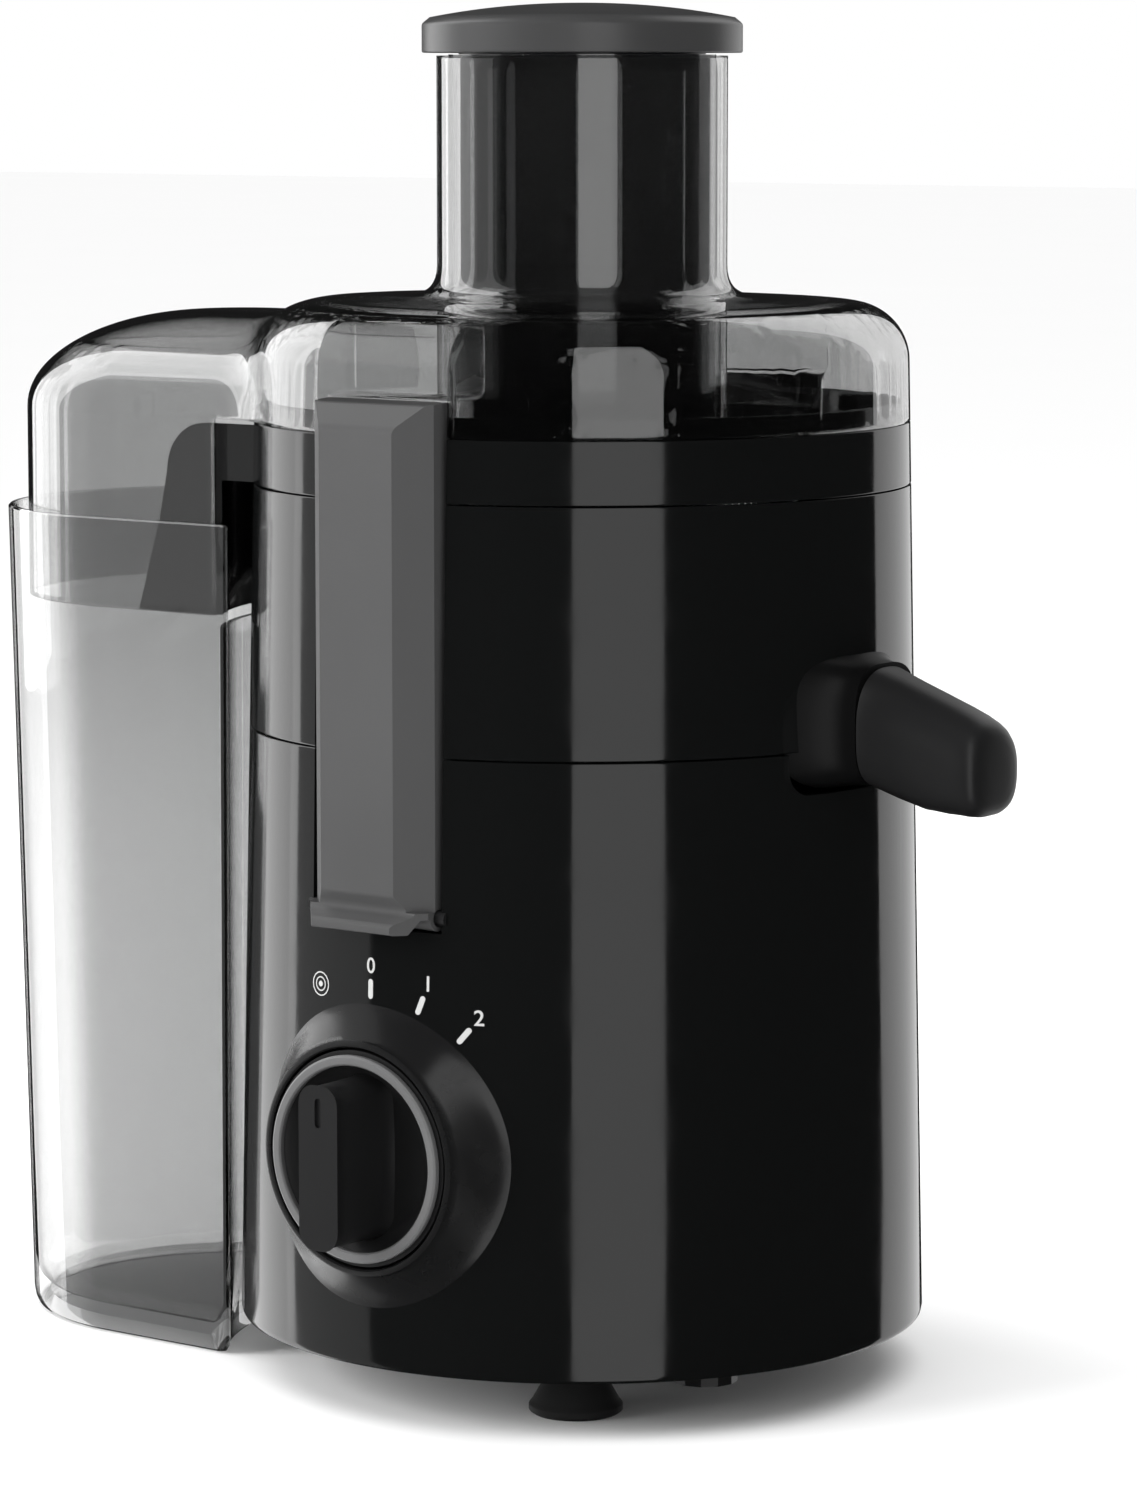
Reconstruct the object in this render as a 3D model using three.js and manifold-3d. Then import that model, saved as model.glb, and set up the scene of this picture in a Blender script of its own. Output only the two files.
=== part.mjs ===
// Centrifugal juicer: motor base, juice bowl, pulp ring, sieve, clear lid with feed tube and
// pusher, two locking clamps, speed dial, swivelling spout and a clear pulp container.
// Millimetres, +Z up, the dial faces -Y and the spout points to +X. The drum axis is at
// x = 0, y = 0 until the last lines centre the whole object on its own outline.
import * as THREE from 'three';
import { mergeVertices } from 'three/addons/utils/BufferGeometryUtils.js';
import Module from 'manifold-3d';

const wasm = await Module();
wasm.setup();

// Clearances
const gap = 0.3;            // between pieces that rest on each other
const runGap = 0.5;         // between pieces that turn or slide in each other
const overlap = 1;          // how far joined shapes run into each other before they are one

// Sides of the round shapes
const drumSides = 36;
const midSides = 24;
const smallSides = 12;
const screwSides = 10;

// Drum, from the table up
const drumRadius = 92;      // at the lid seam
const drumTaper = 0.021;    // radius gained for each millimetre down
const baseBottom = 16;
const bowlSeam = 184;
const bowlHeight = 68;
const ringHeight = 17.5;
const ringSeam = bowlSeam + bowlHeight;
const lidSeam = ringSeam + ringHeight;
const shellWall = 2.8;
const bowlWall = 2.4;
const deckTop = bowlSeam - 13;             // top of the motor housing's inner deck
const deckThickness = 3;

// Clamps, the recess that they lie in, and the switch plunger behind the front one
const clampWidth = 41;
const clampFlatWidth = 25;
const clampProud = 8.5;     // how far the front face stands out past the drum
const recessInset = 7;      // how far the recess floor lies inside the drum
const recessSide = 1.8;     // between the clamp's edge and the recess wall
const recessWall = 2.4;
const pinRadius = 2;
const plungerRadius = 2.2;
const clampFront = drumRadius + clampProud;
const recessDepth = drumRadius - recessInset;
const sideHalf = clampWidth / 2 + recessSide;
const clampTop = lidSeam + 9.5;
const clampBottom = bowlSeam - 47;
const pinHeight = clampBottom + 4;
const pinDistance = recessDepth + 6;
const plungerHeight = clampBottom + 20;

// Pulp container
const boxRadius = 66;       // half width, and radius of the rounded outer end
const boxWall = 2.2;
const boxFloor = 5;
const boxBottom = 0;
const boxTaper = 0.909;     // size of the bottom outline against the rim
const boxInnerRadius = drumAt(baseBottom) + 2.3;   // hollow side, round the drum
const boxCentre = -boxInnerRadius - 29.9;
const boxTop = lidSeam - 29.5;
const skirtBottom = boxTop - 26;
const boxCutTop = skirtBottom - 3;         // the side next to the drum is lower than the rim

// Lid
const lidWall = 2.3;
const lidRise = 33;
const lidCorner = 16;
const lidShoulder = lidSeam + lidRise;
const lidTop = lidShoulder + 2;
const domeTop = lidShoulder - 5.5;
const domeRise = 28;
const domeReach = 54;
const domeRadius = boxRadius - boxWall - 0.8;
const domeCentre = boxCentre + 4;
const pocketTop = lidShoulder - 3;
const pocketDepth = recessDepth - 12;      // distance of the pocket's back from the drum axis

// Sieve
const ringInner = drumRadius - 20;
const sieveRimRadius = ringInner + 6;
const sieveTopRadius = ringInner - 6;
const sieveBase = sieveTopRadius - 22;
const sieveFloor = bowlSeam + 29;
const sieveRim = ringSeam + 8;
const sieveWall = 1.4;

// Feed tube and pusher
const tubeRadius = 40.6;
const tubeWall = 2.4;
const tubeTop = lidTop + 66.1;
const tubeBottom = sieveFloor + 25;
const pusherBottom = tubeBottom + 5;
const pusherWall = 2.4;
const pusherRadius = tubeRadius - tubeWall - runGap - 0.4;
const capRadius = tubeRadius + 4.1;
const capHeight = 14;
const capEdge = 8;

// Pulp ring and chute
const chuteWall = 2;
const chuteHalf = domeRadius - lidWall - runGap;
const chuteRadius = boxInnerRadius + 1.8;  // inner face of the chute wall next to the drum
const chuteTop = lidSeam - 1.5;
const chuteCorner = 14;
const chuteEnd = domeCentre + 12.5;
const ringDeck = 2.4;
const ringLip = ringSeam + 5.5;

// Bowl and spout
const neckRadius = 19.4;
const neckWall = 2.4;
const neckTop = sieveFloor - 4;
const collarFace = drumRadius + 11;
const collarHalf = 26.5;
const collarBottom = bowlSeam - 11.4;
const collarTop = bowlSeam + 26;
const collarCorner = 7;
const spoutHalf = 12.6;
const spoutWall = 2.3;
const spoutEnd = collarFace + 36.5;
const spoutAxis = bowlSeam + 4.5;
const spoutCorner = 7;
const channelHalf = spoutHalf - 3;
const channelRise = 11;

// Motor
const bearingRadius = 11;   // 608 bearing, 8 x 22 x 7
const bearingBore = 4;
const bearingWidth = 7;
const lowerBearing = 26;
const upperBearing = deckTop - 11;
const shaftRadius = bearingBore - 0.2;
const shaftBottom = lowerBearing - 1;
const shaftTop = neckTop - 3;
const statorRadius = 44;
const statorInner = statorRadius - 8;
const statorBottom = 60;
const statorTop = statorBottom + 50;
const armatureRadius = statorInner - 12;
const poleHalf = 11.5;
const commutatorRadius = 11;
const commutatorBottom = lowerBearing + 11;
const commutatorHeight = 17;
const pillarCircle = statorRadius + 8;
const pillarRadius = 5;
const pillarBottom = statorTop + 12;
const fanRadius = 38;
const fanBottom = statorTop + 14;
const fanHeight = 13;
const couplingRadius = 10;

// Dial and cord gland
const dialHeight = 74.5;
const bezelRadius = 33;
const bezelFront = drumRadius + 6.5;
const flareRadius = bezelRadius + 8;
const flareBack = drumRadius - 5;          // distance from the drum axis
const cupRadius = bezelRadius - 1;
const cupBack = bezelFront - 10.5;
const knobRadius = bezelRadius - 3;
const knobFront = bezelFront + 2.5;
const gripFront = knobFront + 16.5;
const gripWidth = 12.2;
const gripHalf = knobRadius - 6;
const gripCorner = 3;
const dialShaftRadius = 3;
const glandRadius = 6.5;
const glandHeight = 34;

// Feet
const footCircle = drumRadius - 30;
const footCount = 3;
const footAngle = -54.5;
const footRadius = 13;
const padCircle = drumRadius - 28;
const padAngle = -21;
const padRadius = 9.2;
const padBottom = 7;
const plateThickness = 2.5;
const ventCount = 9;

// Cutting shapes run from below the table to far above the cap, and far out past the drum.
const farBelow = -50;
const farAbove = 2 * tubeTop;
const farOut = 4 * drumRadius;

const rad = THREE.MathUtils.degToRad;

function drumAt(z) {
  return drumRadius + drumTaper * (lidSeam - z);
}

// ---- solids ----

function solid(geometry) {
  geometry.deleteAttribute('normal');
  geometry.deleteAttribute('uv');
  const merged = mergeVertices(geometry, 1e-4);
  const mesh = new wasm.Mesh({
    numProp: 3,
    vertProperties: merged.attributes.position.array,
    triVerts: new Uint32Array(merged.index.array),
  });
  mesh.merge();
  return new wasm.Manifold(mesh);
}

// A solid of revolution round the Z axis from a closed outline of [radius, height] points.
function lathe(outline, segments = drumSides) {
  const points = outline.map(([r, z]) => new THREE.Vector2(r, z));
  if (THREE.ShapeUtils.area(points) < 0) points.reverse();
  const onAxis = points[0].x === 0 && points[points.length - 1].x === 0;
  if (!onAxis) points.push(points[0].clone());
  return solid(new THREE.LatheGeometry(points, segments).rotateX(Math.PI / 2));
}

function shapeOf(outline) {
  return new THREE.Shape(outline.map(([x, y]) => new THREE.Vector2(x, y)));
}

// An outline in the XY plane, raised from one height to another.
function prism(outline, low, high) {
  const geometry = new THREE.ExtrudeGeometry(shapeOf(outline), { depth: high - low, bevelEnabled: false });
  return solid(geometry.translate(0, 0, low));
}

// An outline of [y, z] points, drawn out along X.
function alongX(outline, low, high) {
  const geometry = new THREE.ExtrudeGeometry(shapeOf(outline), { depth: high - low, bevelEnabled: false });
  const turn = new THREE.Matrix4().set(0, 0, 1, 0, 1, 0, 0, 0, 0, 1, 0, 0, 0, 0, 0, 1);
  return solid(geometry.translate(0, 0, low).applyMatrix4(turn));
}

// An outline of [x, z] points, drawn out along Y from -half to half.
function acrossY(outline, half) {
  const geometry = new THREE.ExtrudeGeometry(shapeOf(outline), { depth: 2 * half, bevelEnabled: false });
  return solid(geometry.rotateX(Math.PI / 2).translate(0, half, 0));
}

function box(x0, x1, y0, y1, z0, z1) {
  const geometry = new THREE.BoxGeometry(x1 - x0, y1 - y0, z1 - z0);
  return solid(geometry.translate((x0 + x1) / 2, (y0 + y1) / 2, (z0 + z1) / 2));
}

function rod(radius, low, high, segments = smallSides) {
  const geometry = new THREE.CylinderGeometry(radius, radius, high - low, segments);
  return solid(geometry.rotateX(Math.PI / 2).translate(0, 0, (low + high) / 2));
}

function arc(cx, cy, rx, ry, from, to, steps) {
  return Array.from({ length: steps + 1 }, (_, i) => {
    const a = rad(from + (to - from) * i / steps);
    return [cx + rx * Math.cos(a), cy + ry * Math.sin(a)];
  });
}

// Turns a solid that was made round Z so that its top faces the front, -Y.
function faceFront(part, z) {
  return part.rotate([90, 0, 0]).translate([0, 0, z]);
}

const rear = (part) => part.rotate([0, 0, 180]);
const both = (part) => part.add(rear(part));

// ---- materials ----

function look(color, roughness, metalness = 0, opacity = 1) {
  return new THREE.MeshStandardMaterial({ color, roughness, metalness, opacity, transparent: opacity < 1 });
}

const glossBlack = look(0x141616, 0.12);
const satinBlack = look(0x202121, 0.42);
const clampGrey = look(0x4c4c4c, 0.4);
const capGrey = look(0x4a4a4a, 0.35);
const ringGrey = look(0x7c7c7c, 0.3);
const clear = look(0xc4c8c8, 0.05, 0, 0.3);
const rubber = look(0x101010, 0.8);
const steel = look(0xb8b8b8, 0.25, 1);
const meshSteel = look(0xc6c6c6, 0.3, 1);
const iron = look(0x55585a, 0.5, 0.8);
const copper = look(0xb06a38, 0.35, 1);
const nylon = look(0xe6e2d6, 0.6);
const carbon = look(0x1c1c1c, 0.7);

const group = new THREE.Group();

function add(name, part, material) {
  const result = part.getMesh();
  const geometry = new THREE.BufferGeometry();
  const positions = new Float32Array(result.numVert * 3);
  for (let i = 0; i < result.numVert; i++) {
    for (let k = 0; k < 3; k++) positions[i * 3 + k] = result.vertProperties[i * result.numProp + k];
  }
  geometry.setAttribute('position', new THREE.BufferAttribute(positions, 3));
  geometry.setIndex(new THREE.BufferAttribute(new Uint32Array(result.triVerts), 1));
  geometry.computeVertexNormals();
  const mesh = new THREE.Mesh(geometry, material);
  mesh.name = name;
  group.add(mesh);
}

// ---- shapes that several pieces share ----

// The drum's outer body between two heights, full inside.
function drumBody(low, high) {
  return lathe([[0, low], [drumAt(low), low], [drumAt(high), high], [0, high]]);
}

// The walls round the clamp recess, front and rear, inside a full body.
function recessBlock(body, low, high) {
  const half = sideHalf + recessWall;
  return both(box(-half, half, -farOut, -recessDepth + recessWall, low, high)).intersect(body);
}

// The recess itself, front and rear.
function recessVoid(low, high) {
  return both(box(-sideHalf, sideHalf, -farOut, -recessDepth, low, high));
}

// A centring rib under or over a seam, left out where the clamp recesses are.
function centringRib(outerRadius, low, high) {
  const half = sideHalf + recessWall + gap;
  const inner = outerRadius - 2.2;
  const rib = lathe([[inner, low], [outerRadius, low], [outerRadius, high], [inner, high]]);
  return rib.subtract(both(box(-half, half, -farOut, -recessDepth + 25, low - 1, high + 1)));
}

// ---- motor base ----

function motorHousing() {
  const low = baseBottom;
  const high = bowlSeam - gap / 2;
  const body = drumBody(low, high);
  const deckLow = deckTop - deckThickness;
  const hub = bearingRadius + gap;
  const cavity = lathe([
    [0, low - 1], [drumAt(low) - shellWall, low - 1], [drumAt(deckLow) - shellWall, deckLow], [0, deckLow],
  ]);
  const tray = lathe([
    [0, deckTop], [drumAt(deckTop) - shellWall, deckTop], [drumAt(high) - shellWall, high + 1],
    [0, high + 1],
  ]);
  let housing = body.subtract(cavity).subtract(tray);
  housing = housing.add(rod(hub + 4, upperBearing - 2, deckTop + 3, drumSides));
  housing = housing.add(recessBlock(body, clampBottom - recessWall, high));
  for (let i = 0; i < 4; i++) {
    const hole = rod(2.2, pillarBottom - 1, pillarBottom + 14);
    const pillar = rod(pillarRadius, pillarBottom, deckLow + overlap).subtract(hole);
    housing = housing.add(pillar.translate([pillarCircle, 0, 0]).rotate([0, 0, 45 + 90 * i]));
  }
  housing = housing.subtract(rod(hub, upperBearing - 3, upperBearing + bearingWidth + gap, midSides));
  housing = housing.subtract(rod(bearingRadius - 3, upperBearing, deckTop + 4, midSides));
  housing = housing.subtract(recessVoid(clampBottom, high + 1));
  housing = housing.subtract(both(pinBore()));
  housing = housing.subtract(spoutNotch());
  housing = housing.subtract(faceFront(rod(cupRadius + gap, cupBack - 28, farOut, midSides), dialHeight));
  housing = housing.subtract(plungerBore());
  return housing.subtract(rear(faceFront(rod(glandRadius + gap, drumRadius - 30, farOut), glandHeight)));
}

// The rounded front outline of the spout collar, as [y, z] points.
function collarOutline(offset, top) {
  const half = collarHalf + offset;
  const low = collarBottom - offset;
  return [
    ...arc(-half + collarCorner, low + collarCorner, collarCorner, collarCorner, 180, 270, 4),
    ...arc(half - collarCorner, low + collarCorner, collarCorner, collarCorner, 270, 360, 4),
    [half, top],
    [-half, top],
  ];
}

function spoutNotch() {
  return alongX(collarOutline(gap, bowlSeam + 10), drumRadius - 14, farOut);
}

function onHinge(radius, half) {
  return rod(radius, -half, half).rotate([0, 90, 0]).translate([0, -pinDistance, pinHeight]);
}

function pinBore() {
  return onHinge(pinRadius + gap, sideHalf + recessWall - 0.8);
}

function clampPin() {
  return onHinge(pinRadius, sideHalf + recessWall - 0.8 - gap);
}

function footPlaces(circle, first) {
  return Array.from({ length: footCount }, (_, i) => {
    const a = rad(first + 120 * i);
    return [circle * Math.cos(a), circle * Math.sin(a), 0];
  });
}

function basePlate() {
  const top = baseBottom + plateThickness;
  let plate = rod(drumAt(top) - shellWall - runGap, baseBottom, top, drumSides);
  for (const place of footPlaces(padCircle, padAngle)) {
    plate = plate.add(rod(padRadius, padBottom, top + 4).translate(place));
    plate = plate.subtract(rod(4.2, padBottom - 1, padBottom + 5).translate(place));
    plate = plate.subtract(rod(2.2, padBottom, top + 5).translate(place));
  }
  for (const place of footPlaces(footCircle, footAngle)) {
    plate = plate.subtract(rod(3.4, 0, top + 1).translate(place));
  }
  for (let i = 0; i < ventCount; i++) {
    const vent = box(26, footCircle - 18, -2, 2, baseBottom - 1, top + 1);
    plate = plate.subtract(vent.rotate([0, 0, 360 * i / ventCount]));
  }
  return plate;
}

function foot() {
  const plateTop = baseBottom + plateThickness;
  const neck = baseBottom - gap;
  return lathe([
    [0, 0], [footRadius - 0.8, 0], [footRadius, 1.2], [footRadius, 2.6], [8.6, 10], [7.4, 11.5], [7.4, neck],
    [3, neck], [3, plateTop + gap], [4.6, plateTop + gap], [3.6, plateTop + 3], [0, plateTop + 3],
  ], smallSides);
}

function padScrew() {
  const seat = padBottom + 5 - gap;
  return lathe([
    [0, seat - 3], [3.8, seat - 3], [3.8, seat], [1.8, seat], [1.8, seat + 14], [0, seat + 14],
  ], screwSides);
}

// ---- motor ----

function statorCore() {
  const low = statorBottom;
  const high = statorTop;
  const ring = lathe([
    [statorInner, low], [statorRadius, low], [statorRadius, high], [statorInner, high],
  ], midSides);
  const pole = box(armatureRadius + 1.6, statorInner + overlap, -poleHalf, poleHalf, low, high);
  return ring.add(both(pole));
}

function fieldCoil() {
  const low = statorBottom - 6;
  const high = statorTop + 6;
  const coil = box(armatureRadius + 2.6, statorInner - 4.6, -poleHalf - 5, poleHalf + 5, low, high);
  const half = poleHalf + gap;
  return coil.subtract(box(0, farOut, -half, half, statorBottom - gap, statorTop + gap));
}

function lowerBracket() {
  const hub = bearingRadius + gap;
  const top = statorBottom - gap;
  const plate = lowerBearing + 5;
  const cup = lathe([
    [5.5, lowerBearing - 3], [hub + 4, lowerBearing - 3], [hub + 4, plate], [statorRadius, plate],
    [statorRadius, top], [statorRadius - 3, top], [statorRadius - 3, plate + 3], [hub, plate + 3],
    [hub, lowerBearing - gap], [5.5, lowerBearing - gap],
  ], smallSides);
  const window = box(-7, 7, -farOut, -hub, commutatorBottom + 2, commutatorBottom + 14);
  return cup.subtract(both(window));
}

function upperBracket() {
  const low = statorTop + gap;
  const high = low + 3.4;
  const inner = statorInner + 3;
  const outer = statorRadius + 2;
  let ring = lathe([[inner, low], [outer, low], [outer, high], [inner, high]], midSides);
  for (let i = 0; i < 4; i++) {
    let lug = box(statorRadius, pillarCircle + 6, -6, 6, low, high);
    lug = lug.subtract(rod(2.4, low - 1, high + 1).translate([pillarCircle, 0, 0]));
    ring = ring.add(lug.rotate([0, 0, 45 + 90 * i]));
  }
  return ring;
}

function rubberMount() {
  const low = statorTop + 2 * gap + 3.4;
  const high = pillarBottom - gap;
  return lathe([[2.4, low], [6.6, low], [5.6, (low + high) / 2], [6.6, high], [2.4, high]], smallSides);
}

function mountScrew() {
  const seat = statorTop;
  const top = pillarBottom + 10;
  return lathe([[0, seat - 3], [3.6, seat - 3], [3.6, seat], [1.9, seat], [1.9, top], [0, top]], screwSides);
}

function bearing(low) {
  const high = low + bearingWidth;
  return lathe([
    [bearingBore, low], [bearingRadius, low], [bearingRadius, high], [bearingBore, high],
  ], smallSides);
}

function brushHolder() {
  const low = commutatorBottom + 3;
  const high = commutatorBottom + 13;
  const holder = box(-6, 6, -statorRadius - 8, -commutatorRadius - 2, low, high);
  return holder.subtract(box(-3.5, 3.5, -statorRadius - 5, 0, low + 1.5, high - 1.5));
}

function carbonBrush() {
  const low = commutatorBottom + 4.8;
  return box(-3.2, 3.2, -commutatorRadius - 25, -commutatorRadius - gap, low, low + 6.4);
}

function motorShaft() {
  return rod(shaftRadius, shaftBottom, shaftTop);
}

function armatureCore() {
  const bore = shaftRadius + gap / 2;
  let core = lathe([
    [bore, statorBottom], [armatureRadius, statorBottom], [armatureRadius, statorTop], [bore, statorTop],
  ], smallSides);
  for (let i = 0; i < 12; i++) {
    const slot = box(armatureRadius - 9, armatureRadius + 1, -1, 1, statorBottom - 1, statorTop + 1);
    core = core.subtract(slot.rotate([0, 0, 30 * i]));
  }
  return core;
}

function tubeOnShaft(radius, low, high, segments) {
  const bore = shaftRadius + gap / 2;
  return lathe([[bore, low], [radius, low], [radius, high], [bore, high]], segments);
}

function commutator() {
  return tubeOnShaft(commutatorRadius, commutatorBottom, commutatorBottom + commutatorHeight, smallSides);
}

function coolingFan() {
  let fan = tubeOnShaft(fanRadius, fanBottom, fanBottom + 2, midSides);
  fan = fan.add(tubeOnShaft(8, fanBottom, fanBottom + fanHeight, smallSides));
  for (let i = 0; i < 11; i++) {
    const blade = box(7, fanRadius - 1, -0.8, 0.8, fanBottom + 1, fanBottom + fanHeight);
    fan = fan.add(blade.rotate([0, 0, 360 * i / 11]));
  }
  return fan.subtract(rod(shaftRadius + gap / 2, fanBottom - 1, fanBottom + fanHeight + 1));
}

function driveCoupling() {
  const low = deckTop + 12;
  let coupling = rod(couplingRadius - 2, low, shaftTop + 2);
  for (let i = 0; i < 6; i++) {
    coupling = coupling.add(box(0, couplingRadius, -1.6, 1.6, low + 6, shaftTop + 2).rotate([0, 0, 60 * i]));
  }
  return coupling.subtract(rod(shaftRadius + gap / 2, low - 1, shaftTop + gap));
}

// ---- dial, switches and cord gland ----

// A flared rim that sits on the drum, round a cup that is let into it.
function dialBezel() {
  const inner = knobRadius + runGap;
  const flare = lathe([
    [inner + 0.5, flareBack], [flareRadius, flareBack], [bezelRadius, bezelFront - 1],
    [bezelRadius - 0.8, bezelFront], [inner + 0.5, bezelFront],
  ], midSides);
  const drum = lathe([
    [0, baseBottom], [drumAt(baseBottom) + gap, baseBottom], [drumAt(bowlSeam) + gap, bowlSeam],
    [0, bowlSeam],
  ]);
  const cup = lathe([
    [dialShaftRadius + runGap, cupBack], [cupRadius, cupBack], [cupRadius, bezelFront], [inner, bezelFront],
    [inner, cupBack + 2], [dialShaftRadius + runGap, cupBack + 2],
  ], midSides);
  return faceFront(flare, dialHeight).subtract(drum).add(faceFront(cup, dialHeight));
}

function knobBody() {
  const back = cupBack + 2 + runGap;
  const inner = knobRadius - 3.6;
  const dish = lathe([
    [0, back], [knobRadius - gap, back], [knobRadius - gap, bezelFront - 1], [inner, bezelFront - 1],
    [inner - 1.2, bezelFront - 2], [0, bezelFront - 2],
  ], midSides);
  const wide = gripWidth / 2;
  const cut = gripCorner;
  const bar = prism([
    [-wide, -gripHalf + cut], [-wide + cut, -gripHalf], [wide - cut, -gripHalf], [wide, -gripHalf + cut],
    [wide, gripHalf - cut], [wide - cut, gripHalf], [-wide + cut, gripHalf], [-wide, gripHalf - cut],
  ], bezelFront - 3, gripFront);
  const slot = box(-1.2, 1.2, gripHalf - 13, gripHalf - 5, gripFront - 0.8, gripFront + 1);
  return faceFront(dish.add(bar).subtract(slot), dialHeight);
}

function knobRing() {
  const inner = knobRadius - 3.6;
  const low = bezelFront - 1 + gap;
  const ring = lathe([
    [inner, low], [knobRadius, low], [knobRadius, knobFront - 0.6], [knobRadius - 0.6, knobFront],
    [inner + 0.4, knobFront], [inner, knobFront - 0.4],
  ], midSides);
  return faceFront(ring, dialHeight);
}

function dialShaft() {
  return faceFront(rod(dialShaftRadius, cupBack - 10, cupBack + 2 + runGap - gap), dialHeight);
}

function speedSwitch() {
  const body = box(-17, 17, -cupBack + gap, -cupBack + 28, dialHeight - 18, dialHeight + 18);
  return body.subtract(faceFront(rod(dialShaftRadius + runGap, cupBack - 12, farOut), dialHeight));
}

function interlockSwitch() {
  const face = -recessDepth + recessWall + 4;
  return box(-11, 11, face, face + 8, plungerHeight - 6, plungerHeight + 6);
}

function plungerBore() {
  return faceFront(rod(plungerRadius + gap, recessDepth - 6, recessDepth + 2), plungerHeight);
}

function interlockPlunger() {
  const low = recessDepth - recessWall - 3.4;
  return faceFront(rod(plungerRadius, low, recessDepth + runGap - gap), plungerHeight);
}

function cordGland() {
  const face = drumAt(glandHeight);
  const gland = lathe([
    [3.4, face - 7], [glandRadius + 2.5, face - 7], [glandRadius + 2.5, face - 4], [glandRadius, face - 4],
    [glandRadius, face + 3], [4.6, face + 12], [3.4, face + 12],
  ], smallSides);
  return rear(faceFront(gland, glandHeight));
}

// ---- bowl and spout ----

function juiceCollector() {
  const low = bowlSeam + gap / 2;
  const high = ringSeam - gap / 2;
  const body = drumBody(low, high);
  const floor = low + bowlWall;
  const hollow = lathe([
    [neckRadius, floor], [drumAt(low) - bowlWall, floor], [drumAt(high) - bowlWall, high + 1],
    [0, high + 1], [0, neckTop], [neckRadius, neckTop],
  ]);
  let bowl = body.subtract(hollow);
  bowl = bowl.add(recessBlock(body, low, high));
  bowl = bowl.add(centringRib(drumAt(bowlSeam) - shellWall - runGap, bowlSeam - 5, low + overlap));
  bowl = bowl.subtract(box(drumRadius - 22, farOut, -collarHalf - gap, collarHalf + gap, farBelow, low));
  bowl = bowl.add(spoutCollar());
  bowl = bowl.subtract(rod(neckRadius - neckWall, low - 10, neckTop + 1, 40));
  bowl = bowl.subtract(recessVoid(low - 10, high + 1));
  return bowl.subtract(juiceChannel());
}

function spoutCollar() {
  const root = drumRadius - 8;
  const deep = collarFace - drumRadius + 2;
  const wide = collarHalf - spoutHalf - 2.4;
  const flare = (side) => arc(collarFace, side * collarHalf, deep, wide, 180, 180 + side * 90, 5);
  const outline = [[root, -collarHalf], ...flare(-1), ...flare(1).reverse(), [root, collarHalf]];
  const plan = prism(outline, collarBottom, collarTop);
  const side = acrossY([
    [root, collarBottom], [collarFace - 5, collarBottom], [collarFace, collarBottom + 2],
    [collarFace, collarTop - 4], [collarFace - 7, collarTop], [root, collarTop],
  ], collarHalf);
  const front = alongX(collarOutline(0, collarTop), root, collarFace);
  return plan.intersect(side).intersect(front).subtract(drumCore());
}

// The part of the drum inside the bowl's wall, which the collar stays out of above the floor.
function drumCore() {
  const low = bowlSeam + gap / 2 + bowlWall;
  return lathe([
    [0, low], [drumAt(low) - bowlWall, low], [drumAt(ringSeam) - bowlWall, ringSeam], [0, ringSeam],
  ]);
}

function juiceChannel() {
  const low = spoutAxis - channelRise;
  const high = spoutAxis + channelRise;
  return acrossY([
    [drumRadius - 30, bowlSeam + gap / 2 + bowlWall], [drumRadius - 4, low], [farOut, low], [farOut, high],
    [drumRadius - 30, high],
  ], channelHalf);
}

function shaftSeal() {
  const low = bowlSeam + 2;
  const inner = couplingRadius + 1.4;
  const outer = neckRadius - neckWall - gap;
  return lathe([[inner, low], [outer, low], [outer, low + 4], [inner, low + 4]], midSides);
}

function pouringSpout() {
  const face = collarFace + runGap;
  const z = spoutAxis;
  const outer = acrossY([
    [face, z - 14.5], [collarFace + 9, z - 17.5], [collarFace + 19, z - 20.1], [collarFace + 29, z - 20.5],
    [spoutEnd - 1.5, z - 18.5], [spoutEnd, z - 15.5], [spoutEnd, z - 1.5], [spoutEnd - 2.5, z + 5],
    [collarFace + 30, z + 9.5], [collarFace + 9, z + 16.1], [face, z + 18],
  ], spoutHalf);
  const corner = spoutCorner;
  const plan = prism([
    [face, -spoutHalf - 2.4], [face + 4, -spoutHalf],
    ...arc(spoutEnd - corner, -spoutHalf + corner, corner, corner, 270, 360, 4),
    ...arc(spoutEnd - corner, spoutHalf - corner, corner, corner, 0, 90, 4),
    [face + 4, spoutHalf], [face, spoutHalf + 2.4],
  ], farBelow, farAbove);
  const front = alongX([
    ...arc(0, z + 6, spoutHalf, 13, 0, 180, 10), ...arc(0, z - 8, spoutHalf, 14, 180, 360, 10),
  ], face - 1, spoutEnd + 1);
  const inner = acrossY([
    [face - 1, z - channelRise], [collarFace + 11, z - channelRise], [collarFace + 17, z - 17.5],
    [collarFace + 17, z - 28], [collarFace + 31, z - 28], [spoutEnd - spoutWall - 1, z - 14.5],
    [spoutEnd - spoutWall, z - 1.5], [collarFace + 28, z + 6.9], [face + 2, z + channelRise],
    [face - 1, z + channelRise],
  ], channelHalf);
  return outer.intersect(plan).intersect(front).subtract(inner);
}

// ---- pulp ring and sieve ----

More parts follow.
